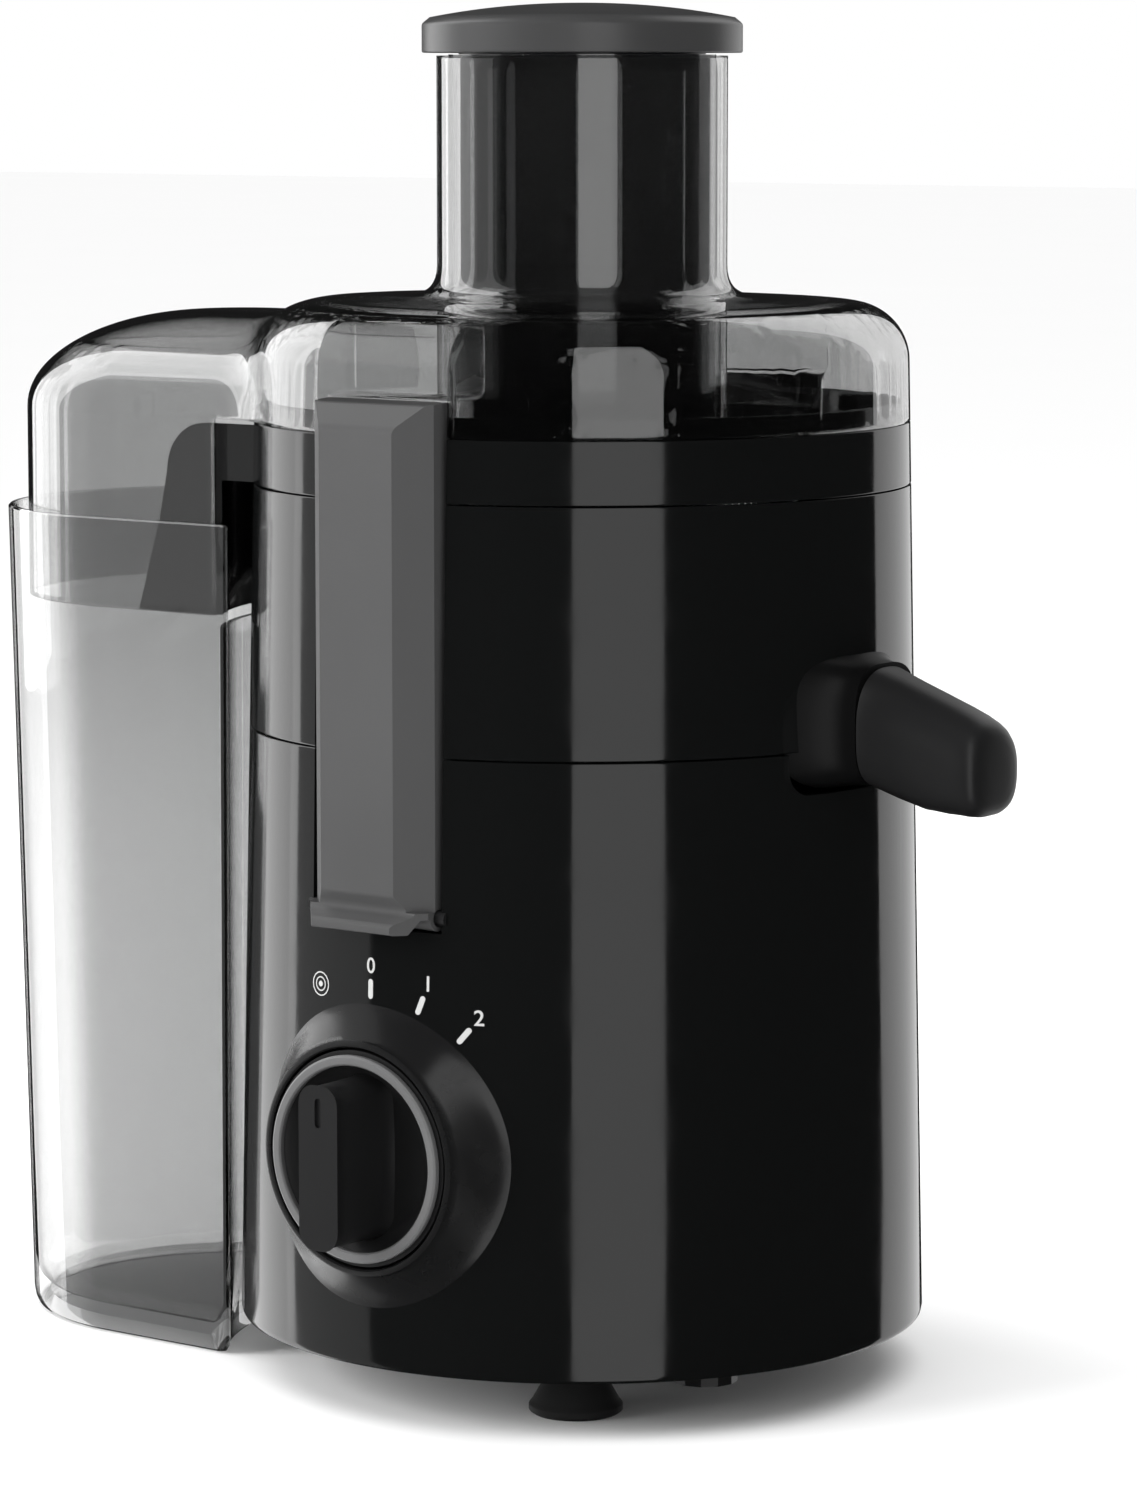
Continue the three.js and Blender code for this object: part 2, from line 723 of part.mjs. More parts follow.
function pulpRing() {
  const low = ringSeam + gap / 2;
  const high = lidSeam - gap / 2;
  const body = drumBody(low, high);
  const wall = lathe([
    [ringInner, low], [drumAt(low), low], [drumAt(high), high], [drumAt(high) - bowlWall, high],
    [drumAt(low) - bowlWall, low + ringDeck], [ringInner + 2.4, low + ringDeck], [ringInner + 2.4, ringLip],
    [ringInner, ringLip],
  ]);
  let ring = wall.add(recessBlock(body, low, high));
  ring = ring.add(centringRib(drumAt(ringSeam) - bowlWall - runGap, low - 5, low + overlap));
  ring = ring.add(centringRib(drumAt(lidSeam) - lidWall - runGap, low + 1, lidSeam + 5.5));
  ring = ring.subtract(recessVoid(low - 10, high + 20));
  const between = chuteHalf - chuteWall;
  ring = ring.subtract(box(-farOut, -drumRadius / 2, -between, between, low + ringDeck, farAbove));
  return ring.add(chute());
}

function chute() {
  const low = ringSeam + gap / 2;
  const corner = chuteCorner;
  const right = -drumRadius + 13;
  const plate = acrossY([
    [right + 11, low], [right + 11, chuteTop],
    ...arc(-drumRadius + 4, chuteTop - corner, corner, corner, 90, 180, 5),
    [chuteEnd + 8, boxTop], [chuteEnd, skirtBottom], [right, skirtBottom], [right, low],
  ], chuteHalf);
  const between = chuteHalf - chuteWall;
  const inside = drumRadius - 6;
  const sides = plate
    .subtract(box(-farOut, 0, -between, between, farBelow, farAbove))
    .subtract(rod(chuteRadius, farBelow, low, drumSides))
    .subtract(rod(inside, farBelow, farAbove, drumSides));
  const outside = chuteRadius + chuteWall;
  const curved = lathe([
    [chuteRadius, skirtBottom], [outside, skirtBottom], [outside, low + ringDeck],
    [inside + 2, low + ringDeck], [inside + 2, low], [chuteRadius, low],
  ]);
  const strip = box(-farOut, -drumRadius / 2, -chuteHalf, chuteHalf, farBelow, farAbove);
  return sides.add(curved.intersect(strip));
}

function sieveHub() {
  const bore = couplingRadius + runGap;
  const roof = shaftTop + 2 + runGap;
  const low = shaftTop - 10;
  const skirt = neckRadius + 1.4;
  const skirtLow = neckTop - 6;
  const top = sieveFloor - 2;
  return lathe([
    [0, roof], [bore, roof], [bore, low], [bore + 3, low], [bore + 3, top], [skirt, top],
    [skirt, skirtLow], [skirt + 2.4, skirtLow], [skirt + 2.4, sieveFloor],
    [sieveBase, sieveFloor], [sieveBase, sieveFloor + 2], [0, sieveFloor + 2],
  ], midSides);
}

function filterBasket() {
  const low = sieveFloor + 2 + gap;
  return lathe([
    [sieveBase - 3.4, low], [sieveBase, low], [sieveTopRadius, sieveRim - 3], [sieveTopRadius + 3, sieveRim],
    [sieveRimRadius, sieveRim], [sieveRimRadius, sieveRim + sieveWall],
    [sieveTopRadius + 2, sieveRim + sieveWall], [sieveTopRadius - sieveWall, sieveRim - 2],
    [sieveBase - sieveWall, low + 2], [sieveBase - 3.4, low + 2],
  ]);
}

function graterDisc() {
  const low = sieveFloor + 2 + gap;
  const high = low + 1.6;
  let disc = rod(sieveBase - 3.4 - gap, low, high, drumSides);
  for (let i = 0; i < 12; i++) {
    disc = disc.add(box(13, sieveBase - 8, -0.6, 0.6, high - 0.5, high + 1).rotate([0, 0, 30 * i]));
  }
  return disc;
}

// ---- lid and pusher ----

// A drum-shaped form under the lid's shoulder, or its hollow when inset is the wall.
function lidDrum(inset, low) {
  const side = (z) => drumAt(z) - inset;
  const shoulder = lidShoulder - inset;
  const corner = lidCorner - inset / 2;
  const edge = side((lidSeam + lidShoulder) / 2) - corner;
  return lathe([
    [0, low], [side(low), low], ...arc(edge, shoulder - corner, corner, corner, 0, 90, 6),
    [tubeRadius, lidTop - inset], [0, lidTop - inset],
  ]);
}

// The dome over the container, run on into the drum, or its hollow.
function lidDome(inset, low) {
  const top = domeTop - inset;
  const radius = domeRadius - inset;
  const crown = arc(radius - domeReach, top - domeRise, domeReach, domeRise, 0, 90, 6);
  const end = lathe([[0, low], [radius, low], ...crown, [0, top]]);
  const vault = alongX([
    [-radius, low], [radius, low], ...crown, ...crown.map(([y, z]) => [-y, z]).reverse(),
  ], domeCentre, -drumRadius / 2);
  return end.translate([domeCentre, 0, 0]).add(vault);
}

// The walls of a front and a rear pocket for the clamps' top ends, full inside.
function pocketBlock(low) {
  const half = sideHalf + recessWall;
  return both(box(-half, half, -farOut, -pocketDepth + recessWall, low, pocketTop + recessWall));
}

function pocketVoid(low) {
  const half = sideHalf;
  const pocket = box(-half, half, -farOut, -pocketDepth, clampTop + 1, pocketTop);
  const recess = box(-half, half, -farOut, -recessDepth, low - 1, clampTop + 2);
  const under = box(-half, half, -recessDepth + recessWall, -pocketDepth + 5, low - 1, clampTop - 1.4);
  return both(pocket.add(recess).add(under));
}

function lid() {
  const low = lidSeam + gap / 2;
  const outer = lidDrum(0, low);
  const block = pocketBlock(low).intersect(outer);
  let shell = outer.subtract(lidDrum(lidWall, low - 1).subtract(block)).subtract(pocketVoid(low));
  shell = shell.subtract(lidDome(-gap, low - 1));
  return shell.subtract(rod(tubeRadius + gap, farBelow, farAbove, drumSides));
}

// The hood over the container. It is cut back round the drum below the seam.
function pulpHood() {
  const low = lidSeam + gap / 2;
  const hollow = lidDome(lidWall, skirtBottom - 1);
  const drum = lidDrum(lidWall, low - 1);
  const below = rod(chuteRadius + 2, farBelow, low, drumSides);
  return lidDome(0, skirtBottom).subtract(hollow).subtract(drum).subtract(below);
}

function feedTube() {
  const inner = tubeRadius - tubeWall;
  return lathe([[inner, tubeBottom], [tubeRadius, tubeBottom], [tubeRadius, tubeTop], [inner, tubeTop]]);
}

function pusherBody() {
  const top = tubeTop + gap;
  const floor = pusherBottom + pusherWall;
  const inner = pusherRadius - pusherWall;
  return lathe([
    [0, pusherBottom], [pusherRadius - 2, pusherBottom], [pusherRadius, pusherBottom + 2],
    [pusherRadius, top], [inner, top], [inner, floor], [0, floor],
  ]);
}

function pusherCap() {
  const low = tubeTop + 2 * gap;
  const edge = low + capEdge;
  const spigot = pusherRadius - pusherWall - gap;
  return lathe([
    [0, low], [spigot - 2, low], [spigot - 2, low - 6], [spigot, low - 6], [spigot, low], [capRadius, low],
    [capRadius, edge], [capRadius - 1.6, edge + 2], [capRadius / 2, edge + 5.2],
    [0, low + capHeight],
  ]);
}

// ---- clamps ----

// The lower end is round the pin, with a notch behind the lip for the recess's edge to swing into.
function clamp() {
  const back = recessDepth + runGap;
  const front = clampFront;
  const half = clampWidth / 2;
  const flat = clampFlatWidth / 2;
  const boss = pinRadius + 1.7;
  const profile = [
    [-back, pinHeight + 8], [-back, clampTop], [-front + 3.5, clampTop], [-front, clampTop - 6],
    [-front, clampBottom + 9], [-front + 3, clampBottom + 5], [-front - 3, clampBottom + 2.6],
    [-front - 3, clampBottom], [-front + 0.8, clampBottom], [-pinDistance - 6.2, pinHeight - 0.2],
    ...arc(-pinDistance, pinHeight, boss, boss, 180, 270, 3),
    ...arc(-pinDistance, pinHeight, 5.4, boss, 290, 360, 3),
  ];
  const bevel = (side) => prism([
    [side * flat, -front - 1], [side * (flat + 1), -front - 1], [side * (half + 1), -front - 1],
    [side * (half + 1), -front + 9], [side * half, -front + 8], [side * flat, -front],
  ], clampBottom + 6, clampTop + 1);
  const part = alongX(profile, -half, half).subtract(bevel(1)).subtract(bevel(-1));
  return part.subtract(onHinge(pinRadius + gap, half + 1));
}

// ---- pulp container ----

// Points move towards the rounded end's centre as they go down.
function tapered(geometry, low, high) {
  const position = geometry.attributes.position;
  for (let i = 0; i < position.count; i++) {
    const t = (position.getZ(i) - low) / (high - low);
    const scale = boxTaper + (1 - boxTaper) * t;
    position.setX(i, boxCentre - 1.5 * (1 - t) + (position.getX(i) - boxCentre) * scale);
    position.setY(i, position.getY(i) * scale);
  }
  return geometry;
}

function containerForm(inset, low, high) {
  const radius = boxRadius - inset;
  const inner = boxInnerRadius + inset;
  const corner = Math.asin(radius / inner) * 180 / Math.PI;
  const outline = [
    ...arc(boxCentre, 0, radius, radius, 270, 90, 28),
    ...arc(0, 0, inner, inner, 180 - corner, 180 + corner, 14),
  ];
  const geometry = new THREE.ExtrudeGeometry(shapeOf(outline), { depth: high - low, bevelEnabled: false });
  return solid(tapered(geometry.translate(0, 0, low), boxBottom, boxTop));
}

function pulpContainer() {
  const outer = containerForm(0, boxBottom, boxTop);
  const inner = containerForm(boxWall, boxFloor + boxWall, boxTop + 1);
  const under = containerForm(boxWall, boxBottom - 1, boxFloor);
  const half = boxRadius - boxWall - 0.1;
  const round = rod(boxInnerRadius + boxWall * 2, boxCutTop, boxTop + 1, 96);
  const cutDown = box(-farOut, 0, -half, half, boxCutTop, boxTop + 1).intersect(round);
  return outer.subtract(inner).subtract(under).subtract(cutDown);
}

// ---- assembly ----

add('motor_housing', motorHousing(), glossBlack);
add('base_plate', basePlate(), satinBlack);
footPlaces(footCircle, footAngle).forEach((place, i) => {
  add(`foot_${i + 1}`, foot().translate(place), rubber);
});
footPlaces(padCircle, padAngle).forEach((place, i) => {
  add(`base_screw_${i + 1}`, padScrew().translate(place), steel);
});
add('front_clamp_pin', clampPin(), steel);
add('rear_clamp_pin', rear(clampPin()), steel);
add('dial_bezel', dialBezel(), glossBlack);
add('speed_switch', speedSwitch(), satinBlack);
add('interlock_switch', interlockSwitch(), satinBlack);
add('cord_gland', cordGland(), rubber);

add('stator_core', statorCore(), iron);
add('field_coil_1', fieldCoil(), copper);
add('field_coil_2', rear(fieldCoil()), copper);
add('lower_bracket', lowerBracket(), nylon);
add('upper_bracket', upperBracket(), nylon);
add('upper_bearing', bearing(upperBearing), steel);
add('lower_bearing', bearing(lowerBearing), steel);
add('brush_holder_1', brushHolder(), nylon);
add('brush_holder_2', rear(brushHolder()), nylon);
add('carbon_brush_1', carbonBrush(), carbon);
add('carbon_brush_2', rear(carbonBrush()), carbon);
for (let i = 0; i < 4; i++) {
  const place = (part) => part.translate([pillarCircle, 0, 0]).rotate([0, 0, 45 + 90 * i]);
  add(`rubber_mount_${i + 1}`, place(rubberMount()), rubber);
  add(`mount_screw_${i + 1}`, place(mountScrew()), steel);
}

add('motor_shaft', motorShaft(), steel);
add('armature_core', armatureCore(), iron);
add('commutator', commutator(), copper);
add('cooling_fan', coolingFan(), nylon);
add('drive_coupling', driveCoupling(), satinBlack);

add('juice_collector', juiceCollector(), glossBlack);
add('shaft_seal', shaftSeal(), rubber);
add('pouring_spout', pouringSpout(), satinBlack);
add('pulp_ring', pulpRing(), glossBlack);
add('sieve_hub', sieveHub(), satinBlack);
add('filter_basket', filterBasket(), meshSteel);
add('grater_disc', graterDisc(), steel);

add('lid', lid(), clear);
add('pulp_hood', pulpHood(), clear);
add('feed_tube', feedTube(), clear);
add('pusher_body', pusherBody(), satinBlack);
add('pusher_cap', pusherCap(), capGrey);

add('front_clamp', clamp(), clampGrey);
add('rear_clamp', rear(clamp()), clampGrey);
add('interlock_plunger', interlockPlunger(), nylon);

add('knob', knobBody(), satinBlack);
add('knob_ring', knobRing(), ringGrey);
add('dial_shaft', dialShaft(), steel);

add('pulp_container', pulpContainer(), clear);

const bounds = new THREE.Box3().setFromObject(group);
const centre = bounds.getCenter(new THREE.Vector3());
group.position.set(-centre.x, -centre.y, -bounds.min.z);
group.updateMatrixWorld(true);

export default group;
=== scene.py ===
import math
import bmesh
import bpy
import numpy
from mathutils import Matrix, Vector


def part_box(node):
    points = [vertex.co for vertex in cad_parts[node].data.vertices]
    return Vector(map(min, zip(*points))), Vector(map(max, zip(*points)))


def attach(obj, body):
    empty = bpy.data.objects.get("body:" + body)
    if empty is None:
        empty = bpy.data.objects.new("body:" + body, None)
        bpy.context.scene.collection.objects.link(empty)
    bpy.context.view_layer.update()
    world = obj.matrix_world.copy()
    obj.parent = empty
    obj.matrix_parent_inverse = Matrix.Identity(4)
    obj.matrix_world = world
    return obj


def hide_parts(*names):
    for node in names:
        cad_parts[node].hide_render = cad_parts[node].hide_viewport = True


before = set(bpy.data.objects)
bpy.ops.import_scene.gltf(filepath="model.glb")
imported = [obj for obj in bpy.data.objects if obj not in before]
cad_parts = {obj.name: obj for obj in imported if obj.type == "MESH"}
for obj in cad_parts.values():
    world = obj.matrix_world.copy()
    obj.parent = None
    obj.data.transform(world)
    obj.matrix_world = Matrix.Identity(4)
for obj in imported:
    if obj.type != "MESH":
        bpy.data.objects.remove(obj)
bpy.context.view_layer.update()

# Everything is modelled in millimetres round the drum's axis and set in its place at the end.
shaftLow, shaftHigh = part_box("motor_shaft")
drumAxis = (shaftLow + shaftHigh) / 2
drumAxis.z = 0
toPlace = Matrix.Translation(drumAxis) @ Matrix.Scale(0.001, 4)


def edges(node):
    low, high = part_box(node)
    return (low - drumAxis) * 1000, (high - drumAxis) * 1000


housingLow, housingHigh = edges("motor_housing")
collectorLow, collectorHigh = edges("juice_collector")
ringLow, ringHigh = edges("pulp_ring")
lidHigh = edges("lid")[1]
capHigh = edges("pusher_cap")[1]
boxLow, boxHigh = edges("pulp_container")

drum = {
    "bottom": housingLow.z,
    "bowlSeam": housingHigh.z + 0.15,
    "ringSeam": collectorHigh.z + 0.15,
    "radius": lidHigh.x,      # at the lid's seam
    "bottomRadius": housingHigh.x,
    "wall": 2.4,
    "ringHeight": 17.5,
    "steps": 240,             # facets round a full turn of the drum
}
drum["lidSeam"] = drum["ringSeam"] + drum["ringHeight"]
drum["taper"] = (drum["bottomRadius"] - drum["radius"]) / (drum["lidSeam"] - drum["bottom"])
recess = {"half": 22.3, "floor": 85.0, "bottom": 137.0, "corner": 2.2, "wall": 2.4}


def drumAt(z):
    return drum["radius"] + drum["taper"] * (drum["lidSeam"] - z)


def arc(cx, cz, rx, rz, first, last, steps):
    turns = [math.radians(first + (last - first) * i / steps) for i in range(steps + 1)]
    return [(cx + rx * math.cos(t), cz + rz * math.sin(t)) for t in turns]


def rounded(path, closed=True, steps=5):
    # Each corner is (x, z, radius); a corner with a radius becomes a short curve.
    result = []
    count = len(path)
    for i, (x, z, radius) in enumerate(path):
        if not radius or (not closed and i in (0, count - 1)):
            result.append((x, z))
            continue
        here = Vector((x, z))
        before = Vector(path[i - 1][:2]) - here
        after = Vector(path[(i + 1) % count][:2]) - here
        reach = radius / math.tan(max(before.angle(after), 0.05) / 2)
        reach = min(reach, before.length * 0.49, after.length * 0.49)
        start = here + before.normalized() * reach
        end = here + after.normalized() * reach
        for k in range(steps + 1):
            t = k / steps
            point = start * (1 - t) ** 2 + here * 2 * t * (1 - t) + end * t ** 2
            result.append((point.x, point.y))
    return result


def spun(path, steps, closed=True):
    bm = bmesh.new()
    verts = [bm.verts.new((x, 0, z)) for x, z in path]
    pairs = list(zip(verts, verts[1:])) + ([(verts[-1], verts[0])] if closed else [])
    lines = [bm.edges.new(pair) for pair in pairs]
    bmesh.ops.spin(bm, geom=verts + lines, cent=(0, 0, 0), axis=(0, 0, 1), angle=math.tau,
                   steps=steps, use_merge=True)
    bmesh.ops.remove_doubles(bm, verts=bm.verts, dist=0.0005)
    bmesh.ops.recalc_face_normals(bm, faces=bm.faces)
    return bm


def prism(outline, low, high, axis="z"):
    # An outline of (a, b) points, drawn out along one axis.
    spots = {"z": lambda a, b: (a, b, low), "x": lambda a, b: (low, a, b), "y": lambda a, b: (a, low, b)}
    along = {"z": (0, 0, high - low), "x": (high - low, 0, 0), "y": (0, high - low, 0)}
    bm = bmesh.new()
    bm.faces.new([bm.verts.new(spots[axis](a, b)) for a, b in outline])
    return drawnOut(bm, along[axis])


def drawnOut(bm, step):
    copies = bmesh.ops.extrude_face_region(bm, geom=list(bm.faces))["geom"]
    bmesh.ops.translate(bm, vec=step, verts=[v for v in copies if isinstance(v, bmesh.types.BMVert)])
    bmesh.ops.recalc_face_normals(bm, faces=bm.faces)
    return bm


def block(x0, x1, y0, y1, z0, z1):
    bm = bmesh.new()
    bmesh.ops.create_cube(bm, size=1)
    bmesh.ops.scale(bm, vec=(x1 - x0, y1 - y0, z1 - z0), verts=bm.verts)
    bmesh.ops.translate(bm, vec=((x0 + x1) / 2, (y0 + y1) / 2, (z0 + z1) / 2), verts=bm.verts)
    return bm


def soften(bm, width, segments, edges=None):
    limit = math.radians(30)
    chosen = edges or [e for e in bm.edges if len(e.link_faces) == 2 and e.calc_face_angle(0) > limit]
    bmesh.ops.bevel(bm, geom=chosen, offset=width, offset_type="OFFSET", segments=segments, profile=0.5,
                    affect="EDGES", material=-1, clamp_overlap=True)
    return bm


def loft(rings):
    bm = bmesh.new()
    loops = []
    for ring in rings:
        verts = [bm.verts.new(p) for p in ring]
        loops.append([bm.edges.new((a, b)) for a, b in zip(verts, verts[1:] + verts[:1])])
    for a, b in zip(loops, loops[1:]):
        bmesh.ops.bridge_loops(bm, edges=a + b)
    for loop in (loops[0], loops[-1]):
        bmesh.ops.contextual_create(bm, geom=loop)
    bmesh.ops.recalc_face_normals(bm, faces=bm.faces)
    return bm


def turned(bm, angle, axis="Z"):
    bmesh.ops.rotate(bm, cent=(0, 0, 0), matrix=Matrix.Rotation(math.radians(angle), 3, axis), verts=bm.verts)
    return bm


def moved(bm, x, y, z):
    bmesh.ops.translate(bm, vec=(x, y, z), verts=bm.verts)
    return bm


def joined(*parts):
    result = bmesh.new()
    for part in parts:
        mesh = bpy.data.meshes.new("part")
        part.to_mesh(mesh)
        part.free()
        result.from_mesh(mesh)
        bpy.data.meshes.remove(mesh)
    return result


def carved(bm, cutters, operation="DIFFERENCE", tag=True):
    # Faces that the cutters leave behind get material index 1, so they can be found again.
    objects = []
    for i, part in enumerate([bm] + cutters):
        mesh = bpy.data.meshes.new("carve")
        part.to_mesh(mesh)
        part.free()
        for polygon in mesh.polygons:
            polygon.material_index = 1 if i and tag else polygon.material_index
        for label in ("base", "cut"):
            mesh.materials.append(bpy.data.materials.get(label) or bpy.data.materials.new(label))
        shape = bpy.data.objects.new("carve", mesh)
        bpy.context.scene.collection.objects.link(shape)
        objects.append(shape)
    for cutter in objects[1:]:
        step = objects[0].modifiers.new("step", "BOOLEAN")
        step.operation = operation
        step.solver = "EXACT"
        step.object = cutter
    result = bmesh.new()
    graph = bpy.context.evaluated_depsgraph_get()
    result.from_object(objects[0], graph)
    for shape in objects:
        mesh = shape.data
        bpy.data.objects.remove(shape)
        bpy.data.meshes.remove(mesh)
    return result


def frontBack(makeCutter):
    return [makeCutter(), turned(makeCutter(), 180)]


def finish(name, bm, body, material, replaces=(), sharp=38, modifiers=()):
    bmesh.ops.remove_doubles(bm, verts=bm.verts, dist=0.0004)
    bmesh.ops.dissolve_degenerate(bm, edges=bm.edges, dist=0.0002)
    limit = math.radians(sharp)
    for face in bm.faces:
        face.smooth = True
        face.material_index = 0
    for edge in bm.edges:
        edge.smooth = not (len(edge.link_faces) == 2 and edge.calc_face_angle(0) > limit)
    bmesh.ops.transform(bm, matrix=toPlace, verts=bm.verts)
    mesh = bpy.data.meshes.new(name)
    bm.to_mesh(mesh)
    bm.free()
    mesh.materials.append(material)
    piece = bpy.data.objects.new(name, mesh)
    bpy.context.scene.collection.objects.link(piece)
    for kind, settings in modifiers:
        modifier = piece.modifiers.new(kind.title(), kind)
        for key, value in settings.items():
            setattr(modifier, key, value)
    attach(piece, body)
    if replaces:
        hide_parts(*replaces)
    return piece


class Wire:
    def __init__(self, paint, socket):
        self.paint = paint
        self.socket = socket

    def math(self, operation, first, second):
        return self.paint.add("ShaderNodeMath", {"operation": operation}, {0: first, 1: second})

    def __add__(self, other):
        return self.math("ADD", self, other)

    def __sub__(self, other):
        return self.math("SUBTRACT", self, other)

    def __mul__(self, other):
        return self.math("MULTIPLY", self, other)

    def __rsub__(self, other):
        return self.math("SUBTRACT", other, self)

    __radd__ = __add__
    __rmul__ = __mul__


class Nodes:
    def __init__(self, tree):
        self.tree = tree

    def add(self, kind, settings=None, inputs=None, output=0):
        node = self.tree.nodes.new(kind)
        for key, value in (settings or {}).items():
            if key == "ramp":
                for i, (position, color) in enumerate(value):
                    stops = node.color_ramp.elements
                    stop = stops[i] if i < len(stops) else stops.new(position)
                    stop.position = position
                    stop.color = color
            else:
                setattr(node, key, value)
        for key, value in (inputs or {}).items():
            if isinstance(value, Wire):
                self.tree.links.new(value.socket, node.inputs[key])
            else:
                node.inputs[key].default_value = value
        return Wire(self, node.outputs[output]) if output is not None else node


class Paint(Nodes):
    def __init__(self, name, color, roughness, **constants):
        self.material = bpy.data.materials.new(name)
        self.material.use_nodes = True
        super().__init__(self.material.node_tree)
        self.shader = self.tree.nodes["Principled BSDF"]
        self.put("Base Color", (*color, 1))
        self.put("Roughness", roughness)
        for key, value in constants.items():
            self.put(key, value)
        self.material.diffuse_color = (*color, 1)

    def put(self, key, value):
        socket = self.shader.inputs[key]
        if isinstance(value, Wire):
            self.tree.links.new(value.socket, socket)
        else:
            socket.default_value = value

    def place(self):
        return self.add("ShaderNodeTexCoord", output="Object")

    def noise(self, scale, detail, rough=0.5, place=None):
        return self.add("ShaderNodeTexNoise", None, {
            "Vector": place or self.place(), "Scale": scale, "Detail": detail, "Roughness": rough}, "Fac")

    def stretched(self, x, y, z):
        return self.add("ShaderNodeMapping", None, {"Vector": self.place(), "Scale": (x, y, z)})

    def bump(self, height, distance, strength):
        self.put("Normal", self.add("ShaderNodeBump", None, {
            "Height": height, "Distance": distance, "Strength": strength}))

    def mixed(self, factor, first, second):
        first, second = [c if isinstance(c, Wire) else (*c, 1) for c in (first, second)]
        ends = {"Factor": factor, "A": first, "B": second}
        return self.add("ShaderNodeMix", {"data_type": "RGBA"}, ends, "Result")


def softRange(paint, value, low, high, first, last):
    return paint.add("ShaderNodeMapRange", {"interpolation_type": "SMOOTHSTEP"}, {
        "Value": value, "From Min": low, "From Max": high, "To Min": first, "To Max": last})


def glossPlastic(name, color, roughness, ior=1.52):
    paint = Paint(name, color, roughness, **{"IOR": ior})
    film = paint.noise(38, 4, 0.6)
    paint.put("Roughness", softRange(paint, film, 0.35, 0.75, roughness * 0.8, roughness * 1.5))
    paint.bump(paint.noise(160, 2), 0.00002, 0.25)
    return paint.material


def grainPlastic(name, color, roughness, grain=1400, shine=0.45):
    paint = Paint(name, color, roughness, **{"IOR": 1.5, "Specular IOR Level": shine})
    speck = paint.noise(grain, 2, 0.6)
    cloud = paint.noise(22, 3)
    paint.put("Base Color", paint.mixed(cloud, [c * 0.9 for c in color], [c * 1.12 for c in color]))
    paint.put("Roughness", softRange(paint, cloud, 0.3, 0.7, roughness * 0.92, roughness * 1.1))
    paint.bump(speck, 0.00006, 0.35)
    return paint.material


def clearPlastic(name, tint, paintedSheen, edge, edgeShadeStart, roughness, turn=(0.22, 0.45)):
    # Thin smoky walls that hardly bend what is behind them, with a painted pale sheen where they turn away
    # and painted dark shade at the edge.
    paint = Paint(name, tint, roughness, **{
        "IOR": 1.02, "Transmission Weight": 1.0,
        "Coat Weight": 1.0, "Coat IOR": 1.75, "Coat Roughness": 0.015})
    steep = paint.add("ShaderNodeLayerWeight", None, {"Blend": 0.5}, "Facing")
    # Painted sheen: the colour turns pale where the wall turns away from view.
    sheenTinted = paint.mixed(softRange(paint, steep, *turn, 0.0, 1.0), tint, paintedSheen)
    # Painted edge shade: the colour goes dark where the wall is seen edge-on.
    paint.put("Base Color", paint.mixed(softRange(paint, steep, edgeShadeStart, 0.98, 0.0, 1.0), sheenTinted, edge))
    film = paint.noise(30, 4, 0.6)
    paint.put("Roughness", softRange(paint, film, 0.4, 0.8, roughness, roughness * 2.2))
    return paint.material


def softRubber(name, color):
    paint = Paint(name, color, 0.78, **{"IOR": 1.48, "Specular IOR Level": 0.35})
    dust = paint.noise(60, 5, 0.65)
    paint.put("Base Color", paint.mixed(dust, color, [c * 1.9 + 0.006 for c in color]))
    paint.bump(paint.noise(2200, 2), 0.00005, 0.4)
    return paint.material


def brushedSteel(name, color, roughness, axis="z"):
    paint = Paint(name, color, roughness, **{"Metallic": 1.0})
    stretch = {"z": (900, 900, 12), "flat": (30, 900, 900)}[axis]
    lines = paint.noise(1.0, 3, 0.6, paint.stretched(*stretch))
    paint.put("Roughness", softRange(paint, lines, 0.3, 0.7, roughness * 0.7, roughness * 1.4))
    paint.bump(lines, 0.00002, 0.3)
    return paint.material


# Sieve holes: how many round the cone, rows for each metre up, and the band's edges in metres
holes = {"perTurn": 150, "rows": 560.0, "low": 0.2185, "high": 0.2567, "soft": 0.0005, "radius": 0.27}


def sieveSteel(name, color):
    # Rows of small round holes round the cone, each row half a step on from the last.
    paint = Paint(name, color, 0.3, **{"Metallic": 1.0})
    centred = paint.add("ShaderNodeMapping", {"vector_type": "POINT"}, {
        "Vector": paint.place(), "Location": (-drumAxis.x, -drumAxis.y, 0)})
    split = paint.add("ShaderNodeSeparateXYZ", None, {"Vector": centred}, "X")
    x = split
    y = Wire(paint, split.socket.node.outputs["Y"])
    z = Wire(paint, split.socket.node.outputs["Z"])
    turn = paint.add("ShaderNodeMath", {"operation": "ARCTAN2"}, {0: y, 1: x}) * (holes["perTurn"] / math.tau)
    row = z * holes["rows"]
    step = paint.add("ShaderNodeMath", {"operation": "FLOOR"}, {0: row})
    across = paint.add("ShaderNodeMath", {"operation": "FRACT"}, {0: turn + step * 0.5 + 200.0}) - 0.5
    up = paint.add("ShaderNodeMath", {"operation": "FRACT"}, {0: row}) - 0.5
    far = paint.add("ShaderNodeMath", {"operation": "SQRT"}, {0: across * across + up * up})
    low, high, soft, radius = holes["low"], holes["high"], holes["soft"], holes["radius"]
    above = softRange(paint, z, low, low + soft, 0.0, 1.0)
    below = softRange(paint, z, high - soft, high, 1.0, 0.0)
    hole = softRange(paint, far, radius, radius + 0.04, 1.0, 0.0) * above * below
    paint.put("Alpha", 1 - hole)
    paint.bump(paint.noise(400, 2), 0.00003, 0.2)
    return paint.material


